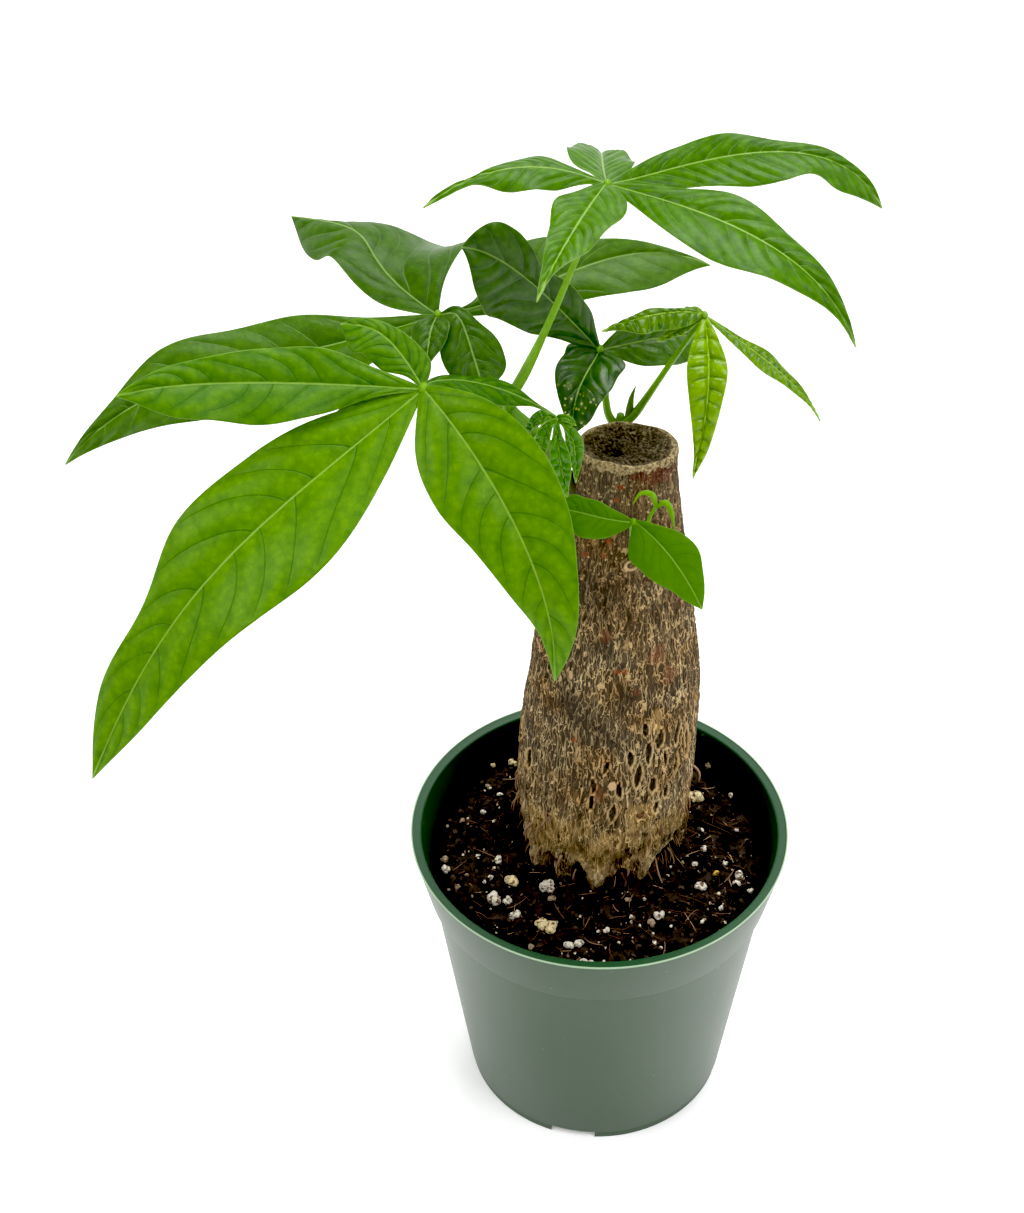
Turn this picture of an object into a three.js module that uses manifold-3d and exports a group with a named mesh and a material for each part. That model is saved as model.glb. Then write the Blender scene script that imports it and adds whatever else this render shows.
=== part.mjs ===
// A young money tree in a green nursery pot: a bottle-shaped stump, sawn off at the top, with three
// new shoots that carry palmate compound leaves. Millimetres, +Z up, the view's right is +X and the
// viewer stands at -Y. The origin is the centre of the pot's underside, on the ground.

import * as THREE from 'three';
import { mergeVertices } from 'three/addons/utils/BufferGeometryUtils.js';
import Module from 'manifold-3d';

const wasm = await Module();
wasm.setup();

// ---- driving dimensions ----------------------------------------------------------------------

const SEAT_GAP = 0.3;              // clearance left between two pieces that touch

const POT_HEIGHT = 99;
const RIM_RADIUS = 57;
const RIM_LIP = 3.8;               // width of the flat ring on top of the rim
const RIM_BAND = 19.5;             // depth of the band under the rim
const BAND_FOOT_RADIUS = 52.6;
const BODY_TOP_RADIUS = 51.2;
const FOOT_RADIUS = 40.3;
const FOOT_HEIGHT = 3;
const FOOT_WIDTH = 2.4;
const POT_WALL = 1.5;
const FLOOR_PAD_RADIUS = 26;       // flat centre of the floor, which stands on the ground
const CHANNEL_HEIGHT = 3.5;        // drain channel between the floor pad and the foot ring
const NOTCH_WIDTH = 14;
const NOTCH_TURN = -12;            // degrees from the front to the first notch
const DRAIN_HOLE_RADIUS = 4;
const DRAIN_HOLE_AT = 32;          // radius on which the drain holes lie
const POT_SIDES = 48;

const SOIL_HEIGHT = 86.5;
const SOIL_ROUGHNESS = 0.9;
const PERLITE_GRAINS = 26;

const TRUNK_Y = 10;                // the stump's axis lies this far behind the pot's centre
const TRUNK_FOOT = 48;             // height of its buried end
const TRUNK_TOP = 234;
const TRUNK_SIDES = 48;
const BARK_RELIEF = 1;             // height of the bark's net of ridges
const CUT_TILT = 2.3;              // how much higher than its middle the cut's front edge is
const CUT_LIP = 2.6;               // width of the callus lip round the cut
const CUT_DEPTH = 4.5;             // depth of the hollow inside the lip

const LEAF_THICKNESS = 0.8;
const BASE_HALF = 0.6;             // half width of a leaflet where it leaves the hub
const TIP_HALF = 0.5;
const STEM_SIDES = 6;

// ---- helpers ---------------------------------------------------------------------------------

const vec = (point) => new THREE.Vector3(...point);

// Repeatable random numbers between 0 and 1.
function randomFrom(seed) {
  let state = seed;
  return () => {
    state = (state * 16807) % 2147483647;
    return state / 2147483647;
  };
}

// A closed solid from a geometry whose faces point out.
function solid(geometry) {
  const bare = geometry.clone();
  bare.deleteAttribute('normal');
  bare.deleteAttribute('uv');
  const merged = mergeVertices(bare, 1e-3);
  return new wasm.Manifold(new wasm.Mesh({
    numProp: 3,
    vertProperties: new Float32Array(merged.attributes.position.array),
    triVerts: new Uint32Array(merged.index.array),
  }));
}

function geometryOf(manifold) {
  const mesh = manifold.getMesh();
  const geometry = new THREE.BufferGeometry();
  geometry.setAttribute('position', new THREE.BufferAttribute(mesh.vertProperties, 3));
  geometry.setIndex(new THREE.BufferAttribute(mesh.triVerts, 1));
  return geometry;
}

function joined(solids) {
  return solids.reduce((whole, next) => whole.add(next));
}

// A closed skin over a list of rings, each a list of points that run anticlockwise seen from the
// far end. The first and last rings are closed by fans to their middles.
function skinOfRings(rings) {
  const sides = rings[0].length;
  const points = rings.flat().concat([middleOf(rings[0]), middleOf(rings[rings.length - 1])]);
  const start = points.length - 2;
  const end = points.length - 1;
  const faces = [];
  for (let k = 0; k < sides; k += 1) {
    const next = (k + 1) % sides;
    faces.push(start, next, k);
    faces.push(end, (rings.length - 1) * sides + k, (rings.length - 1) * sides + next);
    for (let r = 0; r < rings.length - 1; r += 1) {
      const low = r * sides;
      const high = low + sides;
      faces.push(low + k, low + next, high + next);
      faces.push(low + k, high + next, high + k);
    }
  }
  return geometryFrom(points, faces);
}

function middleOf(ring) {
  const middle = new THREE.Vector3();
  ring.forEach((point) => middle.add(point));
  return middle.divideScalar(ring.length);
}

function geometryFrom(points, faces) {
  const geometry = new THREE.BufferGeometry();
  geometry.setAttribute('position', new THREE.Float32BufferAttribute(points.flatMap((p) => p.toArray()), 3));
  geometry.setIndex(faces);
  return geometry;
}

// A round stem along a smooth curve through the given points, with its radius running from one to
// the other end through the given values. Grown, it is thicker and also longer at both ends.
function stem(points, radii, steps, grow = 0) {
  const curve = new THREE.CatmullRomCurve3(points.map(vec));
  const frames = curve.computeFrenetFrames(steps, false);
  const rings = [];
  for (let i = 0; i <= steps; i += 1) {
    const along = i / steps;
    const centre = curve.getPointAt(along);
    const past = i === 0 ? -grow : (i === steps ? grow : 0);
    centre.addScaledVector(curve.getTangentAt(along), past);
    const radius = valueAlong(radii, along) + grow;
    const ring = [];
    for (let k = 0; k < STEM_SIDES; k += 1) {
      const turn = (2 * Math.PI * k) / STEM_SIDES;
      const out = frames.normals[i].clone().multiplyScalar(Math.cos(turn) * radius);
      out.add(frames.binormals[i].clone().multiplyScalar(Math.sin(turn) * radius));
      ring.push(centre.clone().add(out));
    }
    rings.push(ring);
  }
  return solid(skinOfRings(rings));
}

// The value at a fraction of a list of evenly spaced values.
function valueAlong(values, along) {
  const place = along * (values.length - 1);
  const index = Math.min(Math.floor(place), values.length - 2);
  return THREE.MathUtils.lerp(values[index], values[index + 1], place - index);
}

function part(name, manifold, look) {
  const material = new THREE.MeshStandardMaterial({ metalness: 0, flatShading: true, ...look });
  const mesh = new THREE.Mesh(geometryOf(manifold), material);
  mesh.name = name;
  return mesh;
}

// ---- pot -------------------------------------------------------------------------------------

// Radius of the pot's outer wall at a height below the band.
function bodyRadius(z) {
  const rise = (z - FOOT_HEIGHT) / (POT_HEIGHT - RIM_BAND - FOOT_HEIGHT);
  return THREE.MathUtils.lerp(FOOT_RADIUS + 0.5, BODY_TOP_RADIUS, rise);
}

function potSolid() {
  const bandFoot = POT_HEIGHT - RIM_BAND;
  const innerRim = RIM_RADIUS - RIM_LIP;
  const floorTop = CHANNEL_HEIGHT + POT_WALL;
  const outline = [
    [0, 0],
    [FLOOR_PAD_RADIUS, 0],
    [FLOOR_PAD_RADIUS + 1, CHANNEL_HEIGHT],
    [FOOT_RADIUS - FOOT_WIDTH, CHANNEL_HEIGHT],
    [FOOT_RADIUS - FOOT_WIDTH, 0],
    [FOOT_RADIUS, 0],
    [FOOT_RADIUS, FOOT_HEIGHT],
    [FOOT_RADIUS + 0.5, FOOT_HEIGHT],
    [BODY_TOP_RADIUS, bandFoot],
    [BAND_FOOT_RADIUS, bandFoot + 0.6],
    [RIM_RADIUS - 0.5, POT_HEIGHT - 2],
    [RIM_RADIUS, POT_HEIGHT - 0.8],
    [RIM_RADIUS - 0.6, POT_HEIGHT],
    [innerRim + 0.4, POT_HEIGHT],
    [innerRim, POT_HEIGHT - 1],
    [BODY_TOP_RADIUS - POT_WALL + 0.6, bandFoot + 3],
    [BODY_TOP_RADIUS - POT_WALL, bandFoot - 2],
    [bodyRadius(floorTop) - POT_WALL, floorTop],
    [0, floorTop],
  ].map(([r, z]) => new THREE.Vector2(r, z));
  const shell = new THREE.LatheGeometry(outline, POT_SIDES);
  shell.rotateX(Math.PI / 2);
  let pot = solid(shell);
  for (let n = 0; n < 4; n += 1) {
    const turn = THREE.MathUtils.degToRad(-90 + NOTCH_TURN + 90 * n);
    const notch = new THREE.BoxGeometry(FOOT_WIDTH * 4, NOTCH_WIDTH, 2 * (FOOT_HEIGHT - 0.2));
    notch.translate(FOOT_RADIUS, 0, 0);
    notch.rotateZ(turn);
    const hole = new THREE.CylinderGeometry(DRAIN_HOLE_RADIUS, DRAIN_HOLE_RADIUS, 10, 16);
    hole.rotateX(Math.PI / 2);
    hole.translate(DRAIN_HOLE_AT, 0, floorTop);
    hole.rotateZ(turn);
    pot = pot.subtract(solid(notch)).subtract(solid(hole));
  }
  return pot;
}

// ---- stump -----------------------------------------------------------------------------------

// The stump leans a little to the right. Each row: height, centre x, radius.
const STUMP = [
  [TRUNK_FOOT, -1, 12],
  [56, -1, 18],
  [79, -0.5, 21.7],
  [93, 0.9, 24.5],
  [114, 2, 26.2],
  [139, 3.1, 25.9],
  [158, 4.2, 24.5],
  [174, 4.4, 22.3],
  [194, 5.2, 18.6],
  [216, 5.9, 15.2],
  [228, 6, 13.9],
  [TRUNK_TOP, 6, 13.4],
];

function stumpAt(z, column) {
  const last = STUMP.length - 1;
  if (z <= STUMP[0][0]) return STUMP[0][column];
  if (z >= STUMP[last][0]) return STUMP[last][column];
  const above = STUMP.findIndex((row) => row[0] > z);
  const before = STUMP[Math.max(above - 2, 0)][column];
  const low = STUMP[above - 1];
  const high = STUMP[above];
  const after = STUMP[Math.min(above + 1, last)][column];
  const t = (z - low[0]) / (high[0] - low[0]);
  const slopeLow = (high[column] - before) / 2;
  const slopeHigh = (after - low[column]) / 2;
  const cubic = 2 * t ** 3 - 3 * t ** 2 + 1;
  return cubic * low[column] + (1 - cubic) * high[column]
    + (t ** 3 - 2 * t ** 2 + t) * slopeLow + (t ** 3 - t ** 2) * slopeHigh;
}

// Bark relief at a turn and height: two sets of spiral ridges that cross and make a net, with the
// grooves between them sunk below the stump's outline. It is stronger towards the foot.
function barkRelief(turn, z) {
  const rightHand = Math.abs(Math.cos(6 * turn + z / 16));
  const leftHand = Math.abs(Math.cos(5 * turn - z / 13 + 1));
  const strength = THREE.MathUtils.lerp(1.25, 0.6, z / TRUNK_TOP);
  return BARK_RELIEF * strength * (Math.max(rightHand, leftHand) ** 3 - 1);
}

// Root flare: five low buttresses that widen the stump where it enters the soil.
function rootFlare(turn, z) {
  const low = THREE.MathUtils.smoothstep(110 - z, 0, 30);
  return 1.6 * low * Math.cos(5 * turn + 1);
}

// One level of the stump. Near the top it leans back little by little, because the cut is sawn at a
// slant.
function stumpRing(z, grow, bark) {
  const ring = [];
  const slant = CUT_TILT * THREE.MathUtils.smoothstep(z, 200, TRUNK_TOP) / stumpAt(z, 2);
  for (let k = 0; k < TRUNK_SIDES; k += 1) {
    const turn = (2 * Math.PI * k) / TRUNK_SIDES;
    const relief = bark ? barkRelief(turn, z) + rootFlare(turn, z) : 0;
    const radius = stumpAt(z, 2) + relief + grow;
    const x = stumpAt(z, 1) + radius * Math.cos(turn);
    const y = TRUNK_Y + radius * Math.sin(turn);
    ring.push(new THREE.Vector3(x, y, z + slant * (TRUNK_Y - y)));
  }
  return ring;
}

// The cut end: the callus lip rises unevenly and the wood inside it is sunken.
function cutRing(inward, rise, bumps) {
  const ring = stumpRing(TRUNK_TOP, -inward, false);
  ring.forEach((point, k) => {
    const turn = (2 * Math.PI * k) / TRUNK_SIDES;
    const uneven = bumps * (Math.cos(3 * turn) + Math.cos(7 * turn + 1) / 2);
    point.z += rise + uneven;
  });
  return ring;
}

function stumpSolid(grow) {
  const rings = [];
  const step = 8;
  if (grow > 0) rings.push(stumpRing(TRUNK_FOOT - grow, grow, true));
  for (let z = TRUNK_FOOT; z < TRUNK_TOP - 3; z += step) rings.push(stumpRing(z, grow, true));
  rings.push(stumpRing(TRUNK_TOP - 2.5, grow + 0.3, false));
  if (grow === 0) {
    rings.push(cutRing(0.4, 0, 0.3));
    rings.push(cutRing(CUT_LIP / 2, 0.8, 0.4));
    rings.push(cutRing(CUT_LIP + 0.6, -0.5, 0.5));
    rings.push(cutRing(CUT_LIP + 2.5, -CUT_DEPTH * 0.5, 0.5));
    rings.push(cutRing(CUT_LIP + 5, -CUT_DEPTH, 0.4));
  } else {
    rings.push(cutRing(-grow, grow, 0));
  }
  return solid(skinOfRings(rings));
}

// A knot, a bud scar or a swelling on the bark: a low squashed ball half sunk in it.
function knot(turnDegrees, z, size) {
  const turn = THREE.MathUtils.degToRad(turnDegrees);
  const ball = new THREE.IcosahedronGeometry(size, size > 3 ? 1 : 0);
  ball.scale(0.7, 1, 0.8);
  ball.rotateZ(turn);
  const radius = stumpAt(z, 2) - size * 0.1;
  ball.translate(stumpAt(z, 1) + radius * Math.cos(turn), TRUNK_Y + radius * Math.sin(turn), z);
  return solid(ball);
}

// Low lump at the foot of the stump, where a surface root turns down into the soil.
function surfaceRoot(turnDegrees, reach, grow) {
  const turn = THREE.MathUtils.degToRad(turnDegrees);
  const at = (out, z) => [
    stumpAt(95, 1) + out * Math.cos(turn),
    TRUNK_Y + out * Math.sin(turn),
    z,
  ];
  const route = [at(18, 98), at(23, 92), at(23 + reach, 82), at(22 + reach, 74 - grow)];
  return stem(route, [2.5, 2.2, 1.8, 1.2], 5, grow);
}

const KNOTS = [
  [-90, 208, 4],                   // the knot that the front sprout grows from
  [-104, 190, 1.6],
  [-78, 186, 1.8],
  [-50, 178, 1.4],
  [140, 205, 2.4],
  [60, 150, 2],
  [-150, 160, 1.8],
];

const SURFACE_ROOTS = [[-120, 2.2], [-62, 1.8], [-8, 2], [80, 2], [165, 1.5]];

// The whole stump, or the room that it needs when it is grown by the seat gap.
function trunkSolid(grow) {
  const knots = KNOTS.map(([turn, z, size]) => knot(turn, z, size + grow));
  const roots = SURFACE_ROOTS.map(([turn, reach]) => surfaceRoot(turn, reach, grow));
  return joined([stumpSolid(grow), ...knots, ...roots]);
}

// ---- soil ------------------------------------------------------------------------------------

function soilSolid(stumpRoom) {
  const rings = [];
  const floor = CHANNEL_HEIGHT + POT_WALL + SEAT_GAP;
  const wallRadius = (z) => {
    const bandFoot = POT_HEIGHT - RIM_BAND;
    if (z <= bandFoot - 2) return bodyRadius(z) - POT_WALL - SEAT_GAP - 0.5;
    return BODY_TOP_RADIUS - POT_WALL - SEAT_GAP - 0.2;
  };
  const sides = POT_SIDES;
  const flatRing = (radius, height) => {
    const ring = [];
    for (let k = 0; k < sides; k += 1) {
      const turn = (2 * Math.PI * k) / sides;
      const x = radius * Math.cos(turn);
      const y = radius * Math.sin(turn);
      const z = typeof height === 'function' ? height(x, y) : height;
      ring.push(new THREE.Vector3(x, y, z));
    }
    return ring;
  };
  const ground = (x, y) => {
    const waves = Math.sin(x / 4.1 + y / 7) + Math.sin(y / 3.7 - x / 9) + Math.sin((x + y) / 2.3) / 2;
    const mound = 2.5 * Math.exp(-((x * x + (y - TRUNK_Y) ** 2) / 1400));
    return SOIL_HEIGHT + mound + (SOIL_ROUGHNESS * waves) / 2;
  };
  rings.push(flatRing(20, floor));
  rings.push(flatRing(wallRadius(floor), floor));
  rings.push(flatRing(wallRadius(POT_HEIGHT - RIM_BAND - 2), POT_HEIGHT - RIM_BAND - 2));
  rings.push(flatRing(wallRadius(SOIL_HEIGHT), (x, y) => ground(x, y) - 1.5));
  [46, 41, 36, 31, 26, 12].forEach((radius) => rings.push(flatRing(radius, ground)));
  let soil = solid(skinOfRings(rings));
  const random = randomFrom(11);
  const grains = [];
  while (grains.length < PERLITE_GRAINS) {
    const turn = 2 * Math.PI * random();
    const out = 46 * Math.sqrt(random());
    const x = out * Math.cos(turn);
    const y = out * Math.sin(turn);
    const size = 1 + 1.3 * random();
    const clear = Math.hypot(x, y - TRUNK_Y) > 29;
    if (!clear) continue;
    const grain = new THREE.IcosahedronGeometry(size, 0);
    grain.scale(1, 0.8, 0.7);
    grain.rotateZ(3 * random());
    grain.translate(x, y, ground(x, y) + size * 0.25);
    grains.push(solid(grain));
  }
  grains.forEach((grain) => { soil = soil.add(grain); });
  return soil.subtract(stumpRoom);
}

// ---- leaves ----------------------------------------------------------------------------------

// The smooth value at a fraction of a list of evenly spaced values, by Catmull and Rom's rule.
function smoothAlong(values, along) {
  const last = values.length - 1;
  const place = along * last;
  const index = Math.min(Math.floor(place), last - 1);
  const t = place - index;
  const low = values[index];
  const high = values[index + 1];
  const before = index > 0 ? values[index - 1] : 2 * low - high;
  const after = index + 2 <= last ? values[index + 2] : 2 * high - low;
  return low + ((high - before) * t + (2 * before - 5 * low + 4 * high - after) * t ** 2
    + (3 * low - before - 3 * high + after) * t ** 3) / 2;
}

// One leaflet. Its midrib is a cubic curve from the hub: `bend` holds the two handles and `tip` the
// end, all counted from the hub. `face` is the way that its upper side looks at the hub and
// `faceTip` at the tip. `left` and `right` are the half widths of the blade at each sixth of its
// length. `fold` lifts the left and right halves above the rib at the hub, in degrees, and `foldTip`
// at the tip. Each half bulges a little between rib and edge, and the edge is waved.
function leaflet(hub, spec) {
  const {
    bend, tip, face, faceTip = face, left, right,
    fold = [8, 8], foldTip = fold, rows = 12, waves = 3, waveHeight = 0.8, bulge = 0.05,
  } = spec;
  const from = (offset) => vec(hub).add(vec(offset));
  const rib = new THREE.CubicBezierCurve3(vec(hub), from(bend[0]), from(bend[1]), from(tip));
  const columns = Math.max(...left, ...right) > 7 ? [-1, -0.5, 0, 0.5, 1] : [-1, 0, 1];
  const middle = [];
  const normals = [];
  for (let i = 0; i < rows; i += 1) {
    const along = i / (rows - 1);
    const centre = rib.getPointAt(along);
    const tangent = rib.getTangentAt(along);
    const up = vec(face).lerp(vec(faceTip), along).normalize();
    const side = new THREE.Vector3().crossVectors(tangent, up).normalize();
    const normal = new THREE.Vector3().crossVectors(side, tangent);
    columns.forEach((across) => {
      const widths = [BASE_HALF, ...(across < 0 ? left : right), TIP_HALF];
      const half = Math.max(smoothAlong(widths, along), BASE_HALF);
      const hand = across < 0 ? 0 : 1;
      const lift = THREE.MathUtils.degToRad(THREE.MathUtils.lerp(fold[hand], foldTip[hand], along));
      const out = Math.abs(across);
      const ripple = waveHeight * out ** 2 * Math.sin(Math.PI * along)
        * Math.sin(2 * Math.PI * waves * along + (across < 0 ? 0 : 2));
      const raised = out * half * Math.sin(lift) + 4 * bulge * half * out * (1 - out) + ripple;
      const point = centre.clone().add(side.clone().multiplyScalar(across * half * Math.cos(lift)));
      middle.push(point.add(normal.clone().multiplyScalar(raised)));
      normals.push(normal);
    });
  }
  return solid(sheet(middle, normals, rows, columns.length, LEAF_THICKNESS));
}

// A closed sheet of even thickness over a grid of points. Both faces are cut into triangles alike.
function sheet(middle, normals, rows, columns, thickness) {
  const count = middle.length;
  const top = middle.map((p, i) => p.clone().add(normals[i].clone().multiplyScalar(thickness / 2)));
  const bottom = middle.map((p, i) => p.clone().sub(normals[i].clone().multiplyScalar(thickness / 2)));
  const faces = [];
  for (let i = 0; i < rows - 1; i += 1) {
    for (let j = 0; j < columns - 1; j += 1) {
      const a = i * columns + j;
      const b = a + 1;
      const c = a + columns;
      const d = c + 1;
      faces.push(a, b, d, a, d, c);
      faces.push(count + a, count + d, count + b, count + a, count + c, count + d);
    }
  }
  const at = (row, column) => row * columns + column;
  const edge = [];
  for (let j = 0; j < columns - 1; j += 1) {
    edge.push([at(0, j), at(0, j + 1)]);
    edge.push([at(rows - 1, j + 1), at(rows - 1, j)]);
  }
  for (let i = 0; i < rows - 1; i += 1) {
    edge.push([at(i, columns - 1), at(i + 1, columns - 1)]);
    edge.push([at(i + 1, 0), at(i, 0)]);
  }
  edge.forEach(([p, q]) => faces.push(p, count + p, count + q, p, count + q, q));
  return geometryFrom([...top, ...bottom], faces);
}

// A compound leaf: leaflets that spread from one hub, with the knuckle there, on a petiole.
function compoundLeaf({ hub, knuckle, petiole, radii, steps = 8, leaflets }) {
  const ball = new THREE.IcosahedronGeometry(knuckle, 0);
  ball.translate(...hub);
  const pieces = [solid(ball), stem([...petiole, hub], radii, steps)];
  leaflets.forEach((spec) => pieces.push(leaflet(hub, spec)));
  return joined(pieces);
}

const LEAF_A = {
  hub: [-47, -20, 274],
  knuckle: 2.2,
  petiole: [[-23.6, 10, 243], [-27, 6, 246], [-34, -4, 257], [-42, -15, 268]],
  radii: [1.5, 1.5, 1.2, 1.2],
  leaflets: [
    { bend: [[-44, -32, -21], [-63, -40, -30]], tip: [-86, -52, -83], face: [-0.13, -0.61, 0.78],
      left: [12, 20, 18, 13, 8], right: [11, 16, 16, 9, 8], fold: [10, 0], rows: 16, waves: 4 },
    { bend: [[-1, -3, 4], [34, -40, -17]], tip: [32, -38, -64], face: [-0.05, -0.73, 0.68],
      left: [11, 15, 14, 10, 6], right: [12, 15, 12, 8, 3], fold: [10, 7], rows: 14 },
    { bend: [[-42, 0, 4], [-63, -7, 8]], tip: [-75, -10, 6], face: [0, -0.61, 0.79],
      left: [3, 8, 11, 10, 8], right: [5, 9, 9, 7, 5], fold: [4, 6] },
    { bend: [[-8, 13, 8], [-12, 12, 12]], tip: [-21, 16, 9], face: [-0.1, -0.5, 0.86],
      left: [2, 6, 7, 7, 7], right: [5, 5, 4, 3, 2], fold: [0, 0], rows: 9, waves: 2 },
    { bend: [[1, 3, 3], [17, 19, -9]], tip: [33, 2, -10], face: [0, -0.12, 0.99],
      left: [2, 4, 4, 3, 1], right: [3, 7, 7, 4, 1], fold: [-14, -8], rows: 9, waves: 2 },
    { bend: [[-13, 8, -10], [-14, 6, -9]], tip: [-24, 6, -12], face: [0, -0.41, 0.91],
      left: [2, 3, 4, 4, 2], right: [2, 3, 4, 3, 2], rows: 8, waves: 1 },
  ],
};

const LEAF_B = {
  hub: [-44, 15, 273],
  knuckle: 1.9,
  petiole: [[-22.8, 10.3, 242], [-27.6, 14, 246], [-33, 13.4, 254], [-40, 14, 265]],
  radii: [1.3, 1.3, 1.1, 1.1],
  leaflets: [
    { bend: [[-47, -2, -16], [-76, -12, -6]], tip: [-97, -27, -27], face: [-0.03, -0.53, 0.85],
      left: [8, 13, 14, 12, 7], right: [5, 10, 11, 11, 4], fold: [10, 3], rows: 14 },
    { bend: [[-29, 32, 1], [-8, 19, 15]], tip: [-41, 47, 2], face: [0.27, -0.7, 0.66],
      left: [6, 9, 11, 13, 9], right: [14, 24, 23, 10, 3], fold: [6, 20], foldTip: [6, -80],
      rows: 14 },
    { bend: [[6, -5, 4], [5, 0, 5]], tip: [12, -20, -11], face: [0.15, -0.61, 0.78],
      left: [2, 4, 7, 8, 7], right: [4, 6, 8, 8, 6], fold: [-4, -4], rows: 9, waves: 2 },
    { bend: [[-2, -7, 1], [-2, -9, 0]], tip: [-3, -17, -5], face: [-0.2, -0.6, 0.8],
      left: [3, 5, 5, 4, 2], right: [3, 5, 5, 4, 2], rows: 8, waves: 1 },
    { bend: [[30, 31, -15], [48, 37, 5]], tip: [74, 37, -9], face: [0.03, -0.48, 0.88],
      left: [2, 11, 12, 6, 2], right: [3, 7, 9, 12, 10], fold: [10, 4], rows: 14 },
  ],
};

const LEAF_C = {
  hub: [-1, 5, 317],
  knuckle: 2,
  petiole: [[-26.2, 10, 246.3], [-26.2, 10, 249], [-21, 9, 260], [-15, 6, 277], [-9, 4, 295]],
  radii: [1.7, 1.4, 1.2, 1.1, 1.1],
  steps: 10,
  leaflets: [
    { bend: [[-21, -1, 12], [-37, -6, 5]], tip: [-45, -10, 0], face: [0.04, -0.27, 0.96],
      left: [3, 7, 6, 3, 1], right: [4, 8, 7, 3, 1], fold: [0, -28] },
    { bend: [[-1, 22, -6], [0, 28, -4]], tip: [0, 41, -16], face: [0.1, -0.2, 0.97],
      left: [7, 10, 9, 6, 3], right: [7, 8, 6, 4, 2], fold: [22, 20], rows: 10 },
    { bend: [[15, 4, 0], [54, 4, 20]], tip: [68, -1, -7], face: [0, -0.33, 0.94],
      left: [5, 7, 5, 3, 1], right: [5, 10, 11, 8, 3], fold: [3, 6], rows: 14 },
    { bend: [[30, -24, 5], [51, -31, -3]], tip: [59, -35, -25], face: [0.11, -0.38, 0.92],
      left: [4, 8, 8, 5, 3], right: [6, 12, 13, 9, 3], fold: [0, 10], rows: 14 },
    { bend: [[0, 0, 2], [-14, -34, 1]], tip: [-18, -43, -6], face: [-0.1, -0.46, 0.88],
      left: [8, 9, 7, 5, 1], right: [5, 8, 6, 4, 2], fold: [5, 5], rows: 10 },
  ],
};

const LEAF_D = {
  hub: [-1, 32, 250],
  knuckle: 1.6,
  petiole: [[1.5, 29, 231], [1, 30, 237]],
  radii: [1.2, 1],
  steps: 5,
  leaflets: [
    { bend: [[-7, -10, 11], [-40, -28, 70]], tip: [-34, -8, 30], face: [0, -0.52, 0.85],
      left: [3, 8, 11, 13, 9], right: [11, 10, 7, 8, 7], fold: [-2, 2], rows: 14 },
    { bend: [[-2, -7, -1], [-8, -17, 1]], tip: [-8, -20, -14], face: [-0.03, -0.59, 0.81],
      left: [9, 9, 9, 7, 5], right: [8, 8, 8, 5, 2], fold: [20, 20], rows: 9, waves: 2 },
    { bend: [[17, 9, -2], [22, 10, -1]], tip: [32, 14, -6], face: [0.02, -0.71, 0.7],
      left: [4, 6, 7, 6, 4], right: [4, 7, 8, 8, 6], fold: [12, 2], rows: 9, waves: 2 },
  ],
};

const LEAF_E = {
  hub: [27, 30, 262],
  knuckle: 1.4,
  petiole: [[8.5, 28, 232], [11, 28, 235], [18, 29, 247]],
  radii: [1.1, 0.8, 0.8],
  leaflets: [
    { bend: [[-1, 0, 2], [-14, -3, 5]], tip: [-28, -10, 2], face: [0.02, -0.47, 0.88],
      left: [4, 5, 5, 5, 2], right: [2, 2, 3, 2, 1], fold: [-4, -30], rows: 9, waves: 2 },
    { bend: [[2, -30, -8], [-3, -22, -31]], tip: [-3, -22, -38], face: [-0.03, -0.96, 0.29],
      left: [3, 5, 4, 3, 2], right: [4, 6, 5, 3, 1], rows: 12 },
    { bend: [[18, -7, -10], [29, -9, -20]], tip: [32, -10, -28], face: [0.37, -0.33, 0.87],
      left: [1, 2, 3, 2, 1], right: [2, 4, 4, 3, 1], fold: [0, 4], rows: 10 },
    { bend: [[-4, -2, -1], [-8, -4, -2]], tip: [-13, -6, -4], face: [0, -0.65, 0.75],
      left: [1, 1.5, 2, 1.5, 1], right: [1, 1.5, 2, 1.5, 1], rows: 6, waves: 1, waveHeight: 0.2 },
    { bend: [[-2, 1, 1], [-4, 2, 1]], tip: [-6, 3, 0], face: [0, -0.4, 0.9],
      left: [1, 1.5, 1.5, 1, 1], right: [1, 1.5, 1.5, 1, 1], rows: 6, waves: 1, waveHeight: 0.2 },
  ],
};

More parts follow.
